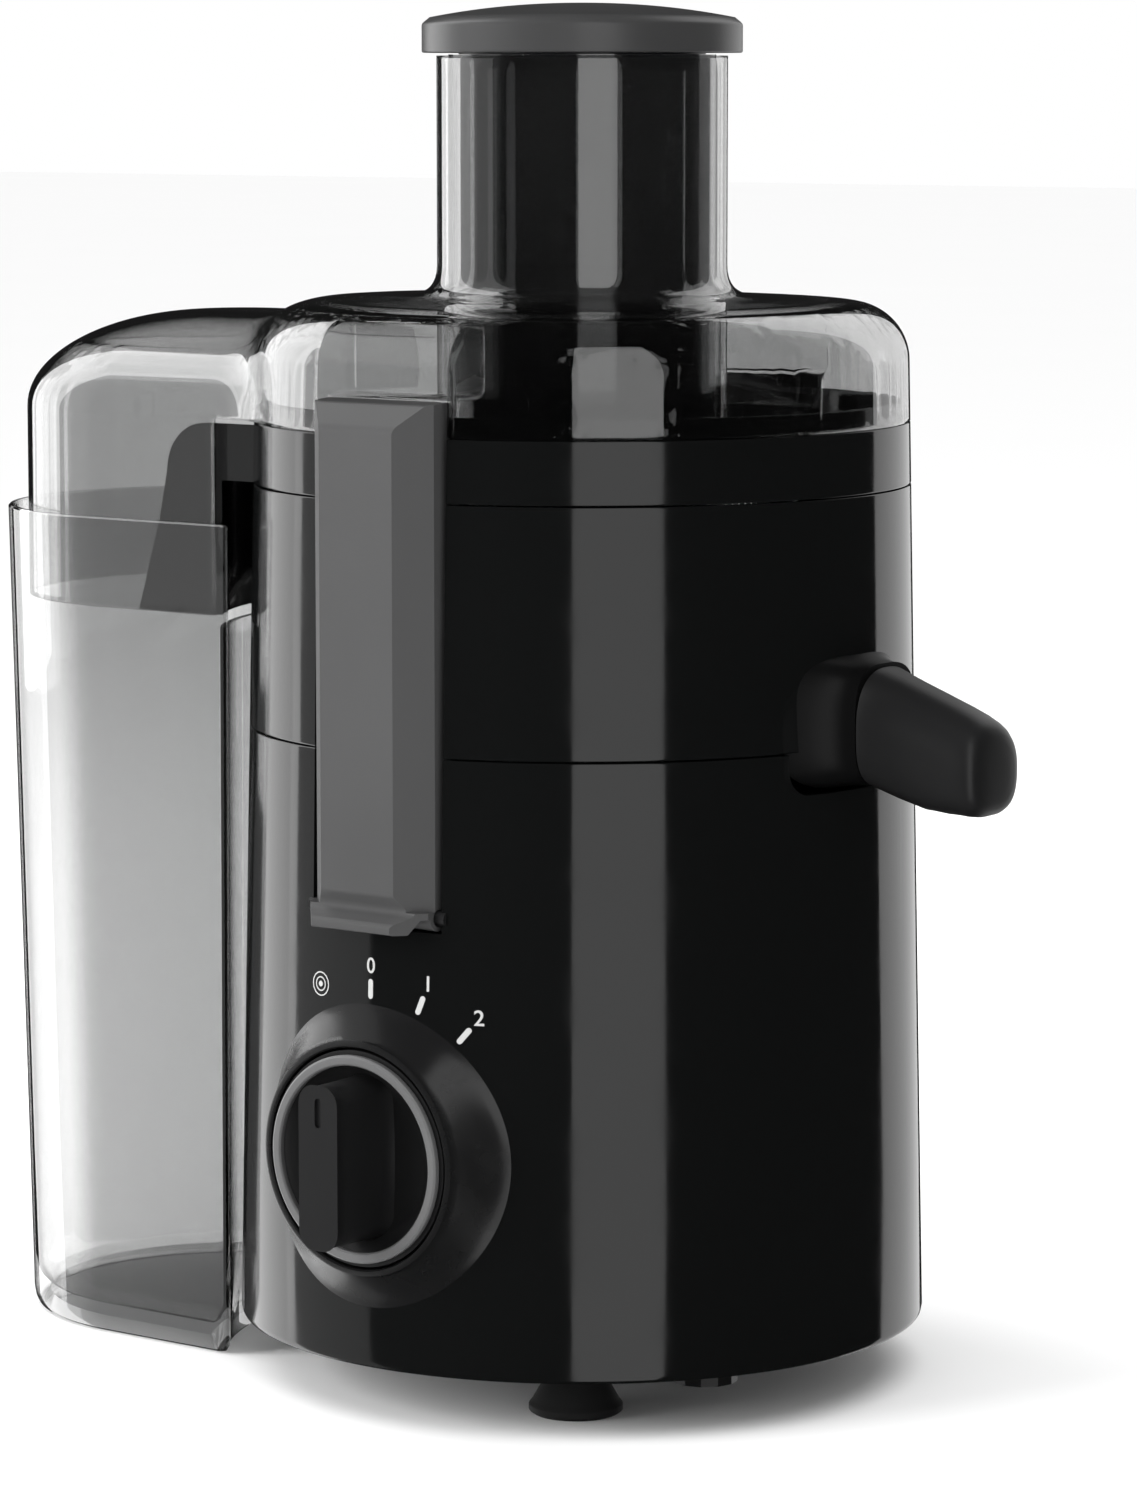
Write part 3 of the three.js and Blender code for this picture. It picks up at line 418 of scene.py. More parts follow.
glossBlack = glossPlastic("glossBlack", (0.0038, 0.004, 0.004), 0.08)
satinBlack = grainPlastic("satinBlack", (0.01, 0.01, 0.0103), 0.42)
pusherDark = glossPlastic("pusherDark", (0.036, 0.036, 0.0365), 0.12, 2.1)
bezelBlack = glossPlastic("bezelBlack", (0.007, 0.007, 0.0072), 0.26)
collarBlack = grainPlastic("collarBlack", (0.0035, 0.0035, 0.0036), 0.4, 1400, 0.2)
knobBlack = grainPlastic("knobBlack", (0.009, 0.009, 0.0093), 0.36)
clampGrey = grainPlastic("clampGrey", (0.055, 0.055, 0.0555), 0.4, 900, 0.2)
capGrey = grainPlastic("capGrey", (0.04, 0.04, 0.0405), 0.34, 900)
ringGrey = grainPlastic("ringGrey", (0.1, 0.1, 0.101), 0.36, 900)
# Each clear part: tint, painted pale sheen, painted dark edge shade, where the edge shade starts, roughness,
# and for the lid where the sheen sets in.
clearLid = clearPlastic("clearLid", (0.55, 0.553, 0.553), (0.78, 0.78, 0.78), (0.08, 0.08, 0.08), 0.8, 0.02,
                        (0.25, 0.6))
clearBox = clearPlastic("clearBox", (0.56, 0.563, 0.563), (0.93, 0.93, 0.93), (0.06, 0.06, 0.06), 0.74, 0.02)
blackRubber = softRubber("blackRubber", (0.006, 0.006, 0.006))
plainSteel = brushedSteel("plainSteel", (0.56, 0.56, 0.57), 0.26)
graterSteel = brushedSteel("graterSteel", (0.62, 0.62, 0.63), 0.24, "flat")
meshSteel = sieveSteel("meshSteel", (0.6, 0.6, 0.61))
laminations = brushedSteel("laminations", (0.16, 0.17, 0.175), 0.45)
copperWire = brushedSteel("copperWire", (0.6, 0.25, 0.1), 0.3)
palePlastic = grainPlastic("palePlastic", (0.62, 0.6, 0.54), 0.5)
carbonBlock = grainPlastic("carbonBlock", (0.02, 0.02, 0.02), 0.6)
markPaint = grainPlastic("markPaint", (0.4, 0.4, 0.395), 0.5)
print("materials made")


def recessCutter(low, high):
    bm = block(-recess["half"], recess["half"], -130, -recess["floor"], low, high)
    upright = [e for e in bm.edges if abs(e.verts[0].co.z - e.verts[1].co.z) > 1 and e.verts[0].co.y > -100]
    return soften(bm, recess["corner"], 4, upright)


def recessWalls(bm, low, high, floor):
    # Adds a wall behind each recess, cut off just inside the drum's own surface.
    side, back = recess["half"] + recess["wall"], recess["wall"] - recess["floor"]
    section = [(0, low), (drumAt(low) - 0.2, low), (drumAt(high) - 0.2, high), (0, high)]
    walls = joined(*frontBack(lambda: block(-side, side, -120, back, floor, high)))
    linings = carved(walls, [spun(section, drum["steps"], False)], "INTERSECT", False)
    return carved(bm, [linings], "UNION", False)


def collarOutline(offset, top):
    # The opening that the spout's collar drops into.
    half, low, corner = housing["collarHalf"] + offset, collectorLow.z - offset, housing["collarCorner"]
    return (arc(-half + corner, low + corner, corner, corner, 180, 270, 8)
            + arc(half - corner, low + corner, corner, corner, 270, 360, 8) + [(half, top), (-half, top)])


housing = {"wall": 2.8, "deck": 171.0, "deckLow": 168.0, "hub": 15.3, "bore": 8.0, "hubTop": 174.0,
           "dialHole": 32.3, "cordHole": 6.8, "collarHalf": 26.5, "collarCorner": 7.0}
dial = {"height": 74.5, "flare": 41.6, "collar": 32.6, "front": 101.6, "inner": 30.4, "cupBack": 88.0,
        "steps": 128}
gland = {"height": 34.0}


def makeHousing():
    low, high = drum["bottom"], housingHigh.z
    wall = housing["wall"]
    path = rounded([
        (drumAt(low) - wall, low, 0), (drumAt(low) - 0.4, low, 1.2), (drumAt(low + 2), low + 2, 0),
        (drumAt(60), 60, 0), (drumAt(120), 120, 0), (drumAt(high), high, 0.6),
        (drumAt(high) - wall, high, 0.4),
        (drumAt(housing["deck"]) - wall, housing["deck"], 1.5), (housing["hub"], housing["deck"], 0.8),
        (housing["hub"], housing["hubTop"], 0.6), (housing["bore"], housing["hubTop"], 0.4),
        (housing["bore"], housing["deckLow"], 0), (drumAt(housing["deckLow"]) - wall, housing["deckLow"], 1),
    ])
    bm = recessWalls(spun(path, drum["steps"]), low, high, recess["bottom"] - recess["wall"])
    dialHole, cordHole = [spun([(0, 60), (r, 60), (r, 110), (0, 110)], steps, False)
                          for r, steps in ((housing["dialHole"], 96), (housing["cordHole"], 48))]
    cutters = frontBack(lambda: recessCutter(recess["bottom"], high + 5))
    cutters.append(prism(collarOutline(0.3, high + 10), 78, 120, "x"))
    cutters.append(moved(turned(dialHole, 90, "X"), 0, 0, dial["height"]))
    cutters.append(moved(turned(cordHole, -90, "X"), 0, 0, gland["height"]))
    return carved(bm, cutters)


finish("motorHousing", makeHousing(), "base", glossBlack, ["motor_housing"], 30)
print("motor housing made")

foot = {"radius": 13.0, "steps": 64}


def makeFoot(center):
    low, high = edges(center)
    middle = (low + high) / 2
    path = rounded([
        (0, 0.9, 0), (9.5, 0.6, 0), (foot["radius"] - 1.2, 0.0, 0.2), (foot["radius"], 0.8, 0.6),
        (foot["radius"], 2.4, 0.8), (12.0, 3.6, 1), (8.8, 9.4, 1.5), (7.5, 11.2, 1.0), (7.5, 15.6, 0.3),
        (3, 15.7, 0), (3, 18.8, 0), (4.6, 18.8, 0), (3.4, high.z, 0), (0, high.z, 0),
    ], False)
    return moved(spun(path, foot["steps"], False), middle.x, middle.y, 0)


for i in (1, 2, 3):
    finish(f"suctionFoot{i}", makeFoot(f"foot_{i}"), "base", blackRubber, [f"foot_{i}"])


def makeBezel():
    # The flare starts on the drum's own surface and rises to the collar.
    rings = 9
    path = [(dial["inner"], dial["cupBack"] + 2), (dial["inner"], dial["front"] - 0.5),
            (dial["inner"] + 0.4, dial["front"]), (dial["collar"] - 1.1, dial["front"]),
            (dial["collar"] - 0.3, dial["front"] - 0.4)]
    spread = [dial["collar"] + (dial["flare"] - dial["collar"]) * i / rings for i in range(rings + 1)]
    path += [(r, dial["front"] - 1.2) for r in spread]
    path += [(dial["flare"] - 0.6, 80), (32, 80), (32, dial["cupBack"]), (3.5, dial["cupBack"]),
             (3.5, dial["cupBack"] + 2)]
    bm = turned(spun(path, dial["steps"]), 90, "X")
    for v in bm.verts:
        r = math.hypot(v.co.x, v.co.z)
        surface = -math.sqrt(drumAt(dial["height"] + v.co.z) ** 2 - v.co.x ** 2)
        if abs(v.co.y + 80) < 0.01:
            v.co.y = surface + 0.9
        elif r > dial["collar"] - 0.2 and v.co.y < -90:
            t = min(max((r - dial["collar"]) / (dial["flare"] - dial["collar"]), 0), 1)
            ease = (1 - t) ** 1.35
            v.co.y = (surface - 0.05) * (1 - ease) + v.co.y * ease
    return moved(bm, 0, 0, dial["height"])


finish("dialBezel", makeBezel(), "base", bezelBlack, ["dial_bezel"], 32)

knob = {"radius": 29.7, "rim": 25.7, "front": 101.0, "floor": 95.2, "grip": 11.2, "half": 22.3,
        "proud": 117.5, "ringOuter": 28.5, "ringInner": 25.6, "ringFront": 103.0}


def makeKnob():
    path = rounded([
        (0, 90.5, 0), (knob["radius"], 90.5, 0.5), (knob["radius"], knob["front"], 0.2),
        (knob["rim"], knob["front"], 0.3),
        (knob["rim"] - 1.0, knob["front"] - 1.0, 0.8), (20, knob["floor"], 6), (0, knob["floor"] - 0.6, 0),
    ], False)
    return moved(turned(spun(path, 112, False), 90, "X"), 0, 0, dial["height"])


def makeGrip():
    half, wide, corner = knob["half"], knob["grip"] / 2, 5.4
    outline = []
    for cx, cz, first in ((-wide + corner, -half + corner, 180), (wide - corner, -half + corner, 270),
                          (wide - corner, half - corner, 0), (-wide + corner, half - corner, 90)):
        outline += arc(cx, cz, corner, corner, first, first + 90, 6)
    rings = []
    for depth, grow in ((94.0, 3.2), (96.0, 1.6), (99.0, 0.7), (104, 0.35), (112, 0.1), (116.4, 0.0),
                        (117.1, -0.35), (knob["proud"], -1.1)):
        rings.append([(x + math.copysign(min(grow, abs(x)), x), -depth, z + math.copysign(grow * 0.3, z))
                      for x, z in outline])
    bm = loft(rings)
    slot = moved(block(-1.1, 1.1, -130, -knob["proud"] + 0.9, 0, 8.0), 0, 0, 11.0)
    soften(slot, 1.0, 4, [e for e in slot.edges if abs(e.verts[0].co.y - e.verts[1].co.y) > 1])
    return moved(carved(bm, [slot]), 0, 0, dial["height"])


def makeKnobRing():
    inner, outer, back, front = knob["ringInner"], knob["ringOuter"], knob["front"] + 0.1, knob["ringFront"]
    path = rounded([(inner, back, 0.2), (outer, back, 0.2), (outer, front - 0.4, 0.4),
                    (outer - 0.6, front, 0.4), (inner + 0.5, front, 0.4), (inner, front - 0.5, 0.4)], True, 4)
    return moved(turned(spun(path, 128), 90, "X"), 0, 0, dial["height"])


finish("knobDish", makeKnob(), "dial", knobBlack, ["knob"])
finish("knobGrip", makeGrip(), "dial", knobBlack, (), 30)
finish("knobRing", makeKnobRing(), "dial", ringGrey, ["knob_ring"])

marks = {"stem": 45.8, "number": 52.0, "size": 6.0, "angles": {"0": 0.4, "1": 21.0, "2": 39.4}, "lift": 0.06,
         "thick": 0.12, "halfLength": 1.95, "halfWidth": 0.78,
         "pulseAngle": -22.5, "pulseStem": 48.8, "pulseRings": ((0.0, 0.8), (1.7, 2.05), (3.05, 3.4))}


def onDrum(bm):
    # Marks are flat in the plan of the dial, and laid on the drum from the front.
    for v in bm.verts:
        lift = marks["lift"] + (marks["thick"] if v.co.y < -0.5 else 0)
        v.co.y = -math.sqrt(drumAt(v.co.z) ** 2 - v.co.x ** 2) - lift
    return bm


def flatText(text, size):
    curve = bpy.data.curves.new("digit", "FONT")
    curve.body = text
    curve.size = size
    curve.align_x = "CENTER"
    curve.align_y = "CENTER"
    curve.offset = 0.05
    curve.resolution_u = 6
    writing = bpy.data.objects.new("digit", curve)
    bpy.context.scene.collection.objects.link(writing)
    graph = bpy.context.evaluated_depsgraph_get()
    mesh = bpy.data.meshes.new_from_object(writing.evaluated_get(graph))
    bm = bmesh.new()
    bm.from_mesh(mesh)
    bpy.data.objects.remove(writing)
    bpy.data.curves.remove(curve)
    bpy.data.meshes.remove(mesh)
    return turned(bm, 90, "X")


def thickFlat(bm, x, z):
    return onDrum(moved(drawnOut(bm, (0, -1, 0)), x, 0, z))


def makeMarks():
    parts = []
    for digit, angle in marks["angles"].items():
        turn = math.radians(angle)
        x, z = math.sin(turn), math.cos(turn)
        tick = bmesh.new()
        long, wide = marks["halfLength"], marks["halfWidth"]
        outline = arc(0, long, wide, wide, 0, 180, 8) + arc(0, -long, wide, wide, 180, 360, 8)
        tick.faces.new([tick.verts.new((a, 0, b)) for a, b in outline])
        turned(tick, angle, "Y")
        parts.append(thickFlat(tick, x * marks["stem"], dial["height"] + z * marks["stem"]))
        parts.append(thickFlat(flatText(digit, marks["size"]), x * marks["number"],
                               dial["height"] + z * marks["number"]))
    angle = math.radians(marks["pulseAngle"])
    x, z = math.sin(angle) * marks["pulseStem"], dial["height"] + math.cos(angle) * marks["pulseStem"]
    for inner, outer in marks["pulseRings"]:
        ring = bmesh.new()
        outside = [ring.verts.new((a, 0, b)) for a, b in arc(0, 0, outer, outer, 0, 337.5, 15)]
        if inner:
            inside = [ring.verts.new((a, 0, b)) for a, b in arc(0, 0, inner, inner, 0, 337.5, 15)]
            for i in range(16):
                k = (i + 1) % 16
                ring.faces.new([outside[i], outside[k], inside[k], inside[i]])
        else:
            ring.faces.new(outside)
        parts.append(thickFlat(ring, x, z))
    return joined(*parts)


finish("dialMarks", makeMarks(), "base", markPaint, (), 20)
print("dial made")


clamp = {"half": 20.5, "flat": 12.5, "front": 100.5, "back": 85.5, "top": 279.0, "bottom": 137.0,
         "chamfer": 8.0, "lip": 3.0, "lipFlat": 13.5, "lipTop": 142.8, "pin": 91.0, "pinHeight": 141.0,
         "boss": 3.6, "bore": 2.3}


def makeClamp():
    front, back, bottom, lip = clamp["front"], clamp["back"], clamp["bottom"], clamp["lip"]
    pin, height, boss = clamp["pin"], clamp["pinHeight"], clamp["boss"]
    # The lower end is round the pin, with a notch behind the lip for the recess's edge to swing into.
    outline = rounded([
        (-back, height + 8, 2), (-back, clamp["top"], 0.8), (-front + 6.5, clamp["top"] - 0.6, 2.5),
        (-front, clamp["top"] - 7, 4), (-front, bottom + 10, 2), (-front + 3.4, bottom + 5.6, 2.6),
        (-front - lip + 1, bottom + 3.0, 1.5), (-front - lip, bottom + 2.2, 0.6), (-front - lip, bottom, 0.9),
        (-front + 0.8, bottom, 0.5), (-pin - 6.2, height - 0.2, 1.0),
    ]) + arc(-pin, height, boss, boss, 180, 270, 6) + arc(-pin, height, 5.3, boss, 290, 360, 6)
    bm = prism(outline, -clamp["half"], clamp["half"], "x")
    bevels = []
    chamfer, lipTop = clamp["chamfer"], clamp["lipTop"]
    for side in (1, -1):
        # The chamfers run on down the lip, a little further out.
        for flat, face, low, high in ((clamp["flat"], front, lipTop, clamp["top"] + 2),
                                      (clamp["lipFlat"], front + lip, bottom - 1, lipTop)):
            half = clamp["half"]
            plan = [(flat, -face - 0.01), (flat, -face - 8), (half + 4, -face - 8),
                    (half + 4, -face + chamfer + 4), (half, -face + chamfer)]
            bevels.append(prism([(side * x, y) for x, y in plan], low, high))
    bm = carved(bm, bevels)
    bore = turned(spun([(0, -60), (clamp["bore"], -60), (clamp["bore"], 60), (0, 60)], 40, False), 90, "Y")
    return carved(bm, [moved(bore, 0, -pin, height)])


bevelEdges = ("BEVEL", {"width": 0.0016, "segments": 5, "limit_method": "ANGLE",
                        "angle_limit": math.radians(28), "harden_normals": False, "use_clamp_overlap": True})
for end, angle in (("front", 0), ("rear", 180)):
    finish(f"{end}Clamp", turned(makeClamp(), angle), f"{end}_latch", clampGrey, [f"{end}_clamp"],
           28, [bevelEdges])
print("clamps made")


bowl = {"neck": 19.4, "neckTop": 209.0, "floor": 2.4}
collar = {"root": 82.0, "face": 103.0, "half": 27.2, "neckHalf": 14.8, "low": 172.6, "top": 210.0}
spoutSections = [
    # distance out, top, bottom, half width, squareness
    (103.5, 206.4, 174.2, 15.0, 3.0), (106.0, 205.6, 173.0, 13.7, 3.0), (112.0, 203.4, 171.0, 12.8, 3.0),
    (120.0, 200.5, 168.9, 12.6, 3.0), (128.0, 197.6, 168.1, 12.6, 2.9), (133.0, 195.6, 168.0, 12.6, 2.8),
    (135.6, 194.2, 168.1, 12.5, 2.8), (137.0, 193.2, 168.5, 12.1, 2.8), (138.1, 191.9, 169.3, 11.3, 2.8),
    (138.8, 190.3, 170.5, 10.2, 2.8), (139.2, 188.0, 172.4, 8.2, 2.8), (139.45, 185.0, 176.0, 4.5, 2.6),
]


def squircle(x, top, bottom, half, power, steps=48, rounder=0.0):
    middle, rise = (top + bottom) / 2, (top - bottom) / 2
    ring = []
    for i in range(steps):
        t = math.tau * i / steps
        c, s = math.cos(t), math.sin(t)
        square = power if s < 0 else power - rounder
        ring.append((x, half * math.copysign(abs(c) ** (2 / square), c),
                     middle + rise * math.copysign(abs(s) ** (2 / square), s)))
    return ring


def makeCollar():
    rings = []
    count = 10
    for i in range(count + 1):
        t = i / count
        x = collar["root"] + (collar["face"] - collar["root"]) * t
        ease = math.sin(max(0.0, (x - 88) / (collar["face"] - 88)) * math.pi / 2)
        half = collar["half"] + (collar["neckHalf"] - collar["half"]) * ease
        top, low = collar["top"] + 0.8 - 3.4 * ease, collar["low"] + 1.6 * ease
        rings.append(squircle(x, top, low, half, 4.2 - 1.1 * ease, 64))
    return loft(rings)


def makeCollector():
    low, high = drum["bowlSeam"] + 0.15, collectorHigh.z
    wall = drum["wall"]
    floor = low + bowl["floor"]
    neck = bowl["neck"]
    path = rounded([
        (neck - wall, low, 0), (drumAt(low), low, 0.6), (drumAt(high), high, 0.5),
        (drumAt(high) - wall, high, 0.4), (drumAt(floor) - wall, floor + 1.5, 6), (neck, floor, 4),
        (neck, bowl["neckTop"], 1.1), (neck - wall, bowl["neckTop"], 1.1),
    ])
    bm = recessWalls(spun(path, drum["steps"]), low, high, low)
    return carved(bm, frontBack(lambda: recessCutter(low - 5, high + 5)) + [makeChannel()])


def makeChannel():
    low = drum["bowlSeam"] + 0.15 + bowl["floor"]
    sections = ((70, low + 0.05), (86, 178), (112, 177.5))
    return loft([squircle(x, 199.5, bottom, 9.6, 5, 32) for x, bottom in sections])


def makeSpoutCollar():
    wall, low, high = drum["wall"] - 0.4, 150.0, collectorHigh.z
    inside = spun([(0, low), (drumAt(low) - wall, low), (drumAt(high) - wall, high), (0, high)], 160, False)
    return carved(makeCollar(), [inside, makeChannel()])


finish("juiceCollector", makeCollector(), "bowl", glossBlack, ["juice_collector"], 30)
finish("spoutCollar", makeSpoutCollar(), "bowl", collarBlack, (), 30)


def makeSpout():
    shell = loft([squircle(*section, 64, 0.6) for section in spoutSections])
    throat = loft([squircle(x, top, bottom, half, 5, 32) for x, top, bottom, half in (
        (100, 199.5, 177.5, 9.6), (112, 199.0, 175.5, 9.6), (124, 196.5, 172, 9.4), (133, 192.5, 172, 8.6),
        (136.4, 188, 175, 6.5))])
    hole = rounded([(121, -6.5, 3), (133.5, -6.5, 3), (133.5, 6.5, 3), (121, 6.5, 3)])
    outlet = loft([[(x, y, z) for x, y in hole] for z in (155, 178)])
    return carved(shell, [carved(throat, [outlet], "UNION", False)])


finish("pouringSpout", makeSpout(), "spout", satinBlack, ["pouring_spout"], 42)
print("bowl and spout made")


chute = {"half": 60.2, "wall": 2.0, "radius": 101.4, "top": 268.0, "end": -113.0, "bottom": ringLow.z,
         "corner": 14.0}
ring = {"inner": 72.0, "innerTop": 257.5}


def makeRing():
    low, high = drum["ringSeam"] + 0.15, drum["lidSeam"] - 0.15
    wall = drum["wall"]
    deck = low + 2.4
    inner, top = ring["inner"], ring["innerTop"]
    path = rounded([
        (inner, low, 0), (drumAt(low), low, 0.5), (drumAt(high), high, 0.5), (drumAt(high) - 2.8, high, 0.3),
        (89.1, ringHigh.z, 0.5), (87.0, ringHigh.z, 0.5), (86.9, high - 3, 1), (87.6, deck, 2.5),
        (inner + wall, deck, 1.2), (inner + wall, top, 0.9), (inner, top, 0.9),
    ])
    bm = recessWalls(spun(path, drum["steps"]), low, high, low)
    cutters = frontBack(lambda: recessCutter(low - 5, high + 20))
    reach = chute["half"] - chute["wall"]
    cutters.append(block(-140, -40, -reach, reach, deck, high + 30))
    return carved(bm, cutters)


def makeChute():
    low = drum["ringSeam"] + 0.15
    top, corner, half, wall = chute["top"], chute["corner"], chute["half"], chute["wall"]
    end, bottom = chute["end"], chute["bottom"]
    outline = ([(-66, low), (-66, top)] + arc(-88, top - corner, corner, corner, 90, 180, 10)
               + [(end + 8, boxHigh.z), (end, bottom), (-80, bottom), (-80, low)])
    plates = [prism(outline, side * half, side * (half - wall), "y") for side in (-1, 1)]
    radius = chute["radius"]
    keepOff = spun([(0, 190), (radius, 190), (radius, low), (86.5, low), (86.5, 290), (0, 290)], 160, False)
    plates = carved(joined(*plates), [keepOff], "DIFFERENCE", False)
    curved = spun(rounded([
        (radius, bottom, 0.4), (radius + wall, bottom, 0.4), (radius + wall, low + 2.4, 2.5),
        (88, low + 2.4, 0), (88, low, 0), (radius, low, 1.0),
    ]), 200)
    strip = block(-130, -50, -half + 0.3, half - 0.3, 190, 290)
    return carved(plates, [carved(curved, [strip], "INTERSECT", False)], "UNION", False)


finish("pulpRing", makeRing(), "ring", glossBlack, ["pulp_ring"], 30)
finish("pulpChute", makeChute(), "ring", glossBlack, (), 30)
print("pulp ring made")


sieve = {"base": 44.0, "top": 66.0, "rim": 78.0, "height": 260.0, "floor": 215.3, "wall": 0.9}


def makeBasket():
    low, wall = sieve["floor"], sieve["wall"]
    path = rounded([
        (sieve["base"] - 3.4, low, 0), (sieve["base"], low, 0.8), (sieve["top"], sieve["height"] - 3, 2.5),
        (sieve["top"] + 3.5, sieve["height"], 2), (sieve["rim"] - 0.2, sieve["height"] + 0.1, 0.4),
        (sieve["rim"] - 0.2, sieve["height"] + 1.3, 0.4), (sieve["top"] + 2.4, sieve["height"] + 1.2, 2.5),
        (sieve["top"] - wall, sieve["height"] - 2, 2), (sieve["base"] - wall, low + 1.4, 0.6),
        (sieve["base"] - 3.4, low + 1.4, 0),
    ])
    return spun(path, 200)


grater = {"radius": 40.1, "thick": 1.2, "arms": 18, "perArm": 13, "firstTooth": 10.0, "reach": 28.5,
          "sweep": 36}


def makeGrater():
    low, radius, high = sieve["floor"], grater["radius"], sieve["floor"] + grater["thick"]
    path = rounded([(0, low, 0), (radius, low, 0.3), (radius, high, 0.4), (0, high, 0)], False)
    parts = [spun(path, 96, False)]
    arms, perArm = grater["arms"], grater["perArm"]
    for arm in range(arms):
        for i in range(perArm):
            r = grater["firstTooth"] + grater["reach"] * i / (perArm - 1)
            turn = 360 * arm / arms + grater["sweep"] * i / perArm
            tooth = bmesh.new()
            bmesh.ops.create_cone(tooth, cap_ends=True, segments=5, radius1=0.95, radius2=0.12, depth=1.5)
            bmesh.ops.scale(tooth, vec=(1.5, 0.8, 1), verts=tooth.verts)
            parts.append(turned(moved(tooth, r, 0, low + 1.75), turn))
    return joined(*parts)


def makeHub():
    low = 213.0
    path = rounded([
        (0, 208.6, 0), (10.5, 208.6, 0.5), (10.5, 196, 0.4), (13.5, 196, 0.5), (13.5, low - 2, 1.5),
        (20.8, low - 2, 1), (20.8, 203, 0.4), (23.2, 203, 0.4), (23.2, low, 1.5), (44, low, 0.6),
        (44, low + 2, 0.5), (0, low + 2, 0),
    ], False)
    return spun(path, 128, False)


finish("filterBasket", makeBasket(), "sieve", meshSteel, ["filter_basket"])
finish("graterDisc", makeGrater(), "sieve", graterSteel, ["grater_disc"], 30)
finish("sieveHub", makeHub(), "sieve", satinBlack, ["sieve_hub"])
print("sieve made")

# Lid: the closed outer form is cut open below and at the bore, then thickened inwards.
lid = {
    "low": drum["lidSeam"] + 0.15, "shoulder": 302.5, "top": 304.5, "corner": 16.0, "wall": 2.3,
    "tube": 40.6, "tubeTop": edges("feed_tube")[1].z, "tubeLow": edges("feed_tube")[0].z,
    "domeCentre": edges("pulp_hood")[0].x + 63.0, "domeRadius": 63.0, "domeTop": 297.0,
    "domeRise": 28.0, "domeReach": 54.0, "skirt": edges("pulp_hood")[0].z, "inner": 103.4,
    "pocketFloor": 280.0, "pocketTop": 299.5, "pocketBack": 73.0, "pocketCorner": 1.8,
    "valley": 11.0, "fillet": 8.0, "voxel": 1.9, "roughHood": 62.5, "roughCrown": 50.0,
}


def blended(first, second, width):
    share = numpy.clip(0.5 + 0.5 * (second - first) / width, 0, 1)
    return second * (1 - share) + first * share - width * share * (1 - share)


def lidField(p):
    x, y, z = p[:, 0], p[:, 1], p[:, 2]
    r = numpy.hypot(x, y)
    corner = lid["corner"]
    side = drum["radius"] + drum["taper"] * (drum["lidSeam"] - z)
    rise = numpy.clip((76 - r) / (76 - lid["tube"]), 0, 1)
    top = lid["shoulder"] + (lid["top"] - lid["shoulder"]) * rise
    a, b = r - (side - corner), z - (top - corner)
    outside = numpy.hypot(numpy.maximum(a, 0), numpy.maximum(b, 0))
    cap = outside + numpy.minimum(numpy.maximum(a, b), 0) - corner
    out = numpy.hypot(x - numpy.clip(x, lid["domeCentre"], -20), y)
    reach, height = lid["domeReach"], lid["domeRise"]
    a, b = out - (lid["domeRadius"] - reach), z - (lid["domeTop"] - height)
    oval = numpy.hypot(a / reach, b / height) + 1e-6
    slope = numpy.hypot(a / reach ** 2, b / height ** 2) / oval + 1e-6
    dome = numpy.where((a > 0) & (b > 0), (oval - 1) / slope,
                       numpy.maximum(out - lid["domeRadius"], b - height))
    return blended(blended(cap, dome, lid["valley"]), r - lid["tube"], lid["fillet"])


def settle(bm, field):
    # Moves the free points onto the surface where the field is nought.
    bm.verts.ensure_lookup_table()
    p = numpy.array([v.co[:] for v in bm.verts])
    low = p[:, 2].min()
    high = p[:, 2].max()
    free = (p[:, 2] > low + 3) & (p[:, 2] < high - 3)
    for _ in range(3):
        d = field(p)
        slope = numpy.stack([field(p + step) - d for step in numpy.eye(3) * 0.05], axis=1) / 0.05
        size = numpy.maximum((slope ** 2).sum(axis=1), 0.3)
        p -= numpy.where(free, numpy.clip(d, -4, 4) / size, 0)[:, None] * slope
    for v, place in zip(bm.verts, p):
        v.co = place
    return bm


def makeLid():
    # A rough form is remeshed, settled onto the smooth field, and cut open.
    low, top = 196.0, lid["tubeTop"] + 12
    body = spun([(0, low), (drumAt(low), low), (drumAt(260), 288), (78, 302), (0, 303)], 96, False)
    tube = spun([(0, 280), (lid["tube"], 280), (lid["tube"], top), (0, top)], 96, False)
    hood, crown = [prism(arc(lid["domeCentre"], 0, r, r, 90, 270, 32) + [(-20, -r), (-20, r)], bottom, roof)
                   for r, bottom, roof in ((lid["roughHood"], low, 280), (lid["roughCrown"], 270, 292))]
    bm = carved(body, [tube, hood, crown], "UNION", False)
    bm = settle(remade(bm, lid["voxel"]), lidField)
    back, floor, roof = lid["pocketBack"], lid["pocketFloor"], lid["pocketTop"]
    pockets = frontBack(lambda: soften(prism([
        (-130, 255), (-recess["floor"], 255), (-recess["floor"], floor), (-back, floor), (-back, roof),
        (-130, roof),
    ], -recess["half"], recess["half"], "x"), lid["pocketCorner"], 3))
    bm = carved(bm, pockets, "DIFFERENCE", False)
    cutters = [
        spun([(0, 150), (lid["inner"], 150), (lid["inner"], lid["low"]), (0, lid["low"])], 160, False),
        block(-300, 200, -200, 200, 150, lid["skirt"]),
        block(-100, 100, -100, 100, lid["tubeTop"], 450),
    ]
    bm = carved(bm, cutters)
    bmesh.ops.delete(bm, geom=[f for f in bm.faces if f.material_index == 1], context="FACES")
    return bm


def remade(bm, size):
    mesh = bpy.data.meshes.new("remake")
    bm.to_mesh(mesh)
    bm.free()
    shape = bpy.data.objects.new("remake", mesh)
    bpy.context.scene.collection.objects.link(shape)
    step = shape.modifiers.new("step", "REMESH")
    step.mode = "VOXEL"
    step.voxel_size = size
    result = bmesh.new()
    result.from_object(shape, bpy.context.evaluated_depsgraph_get())
    bpy.data.objects.remove(shape)
    bpy.data.meshes.remove(mesh)
    return result


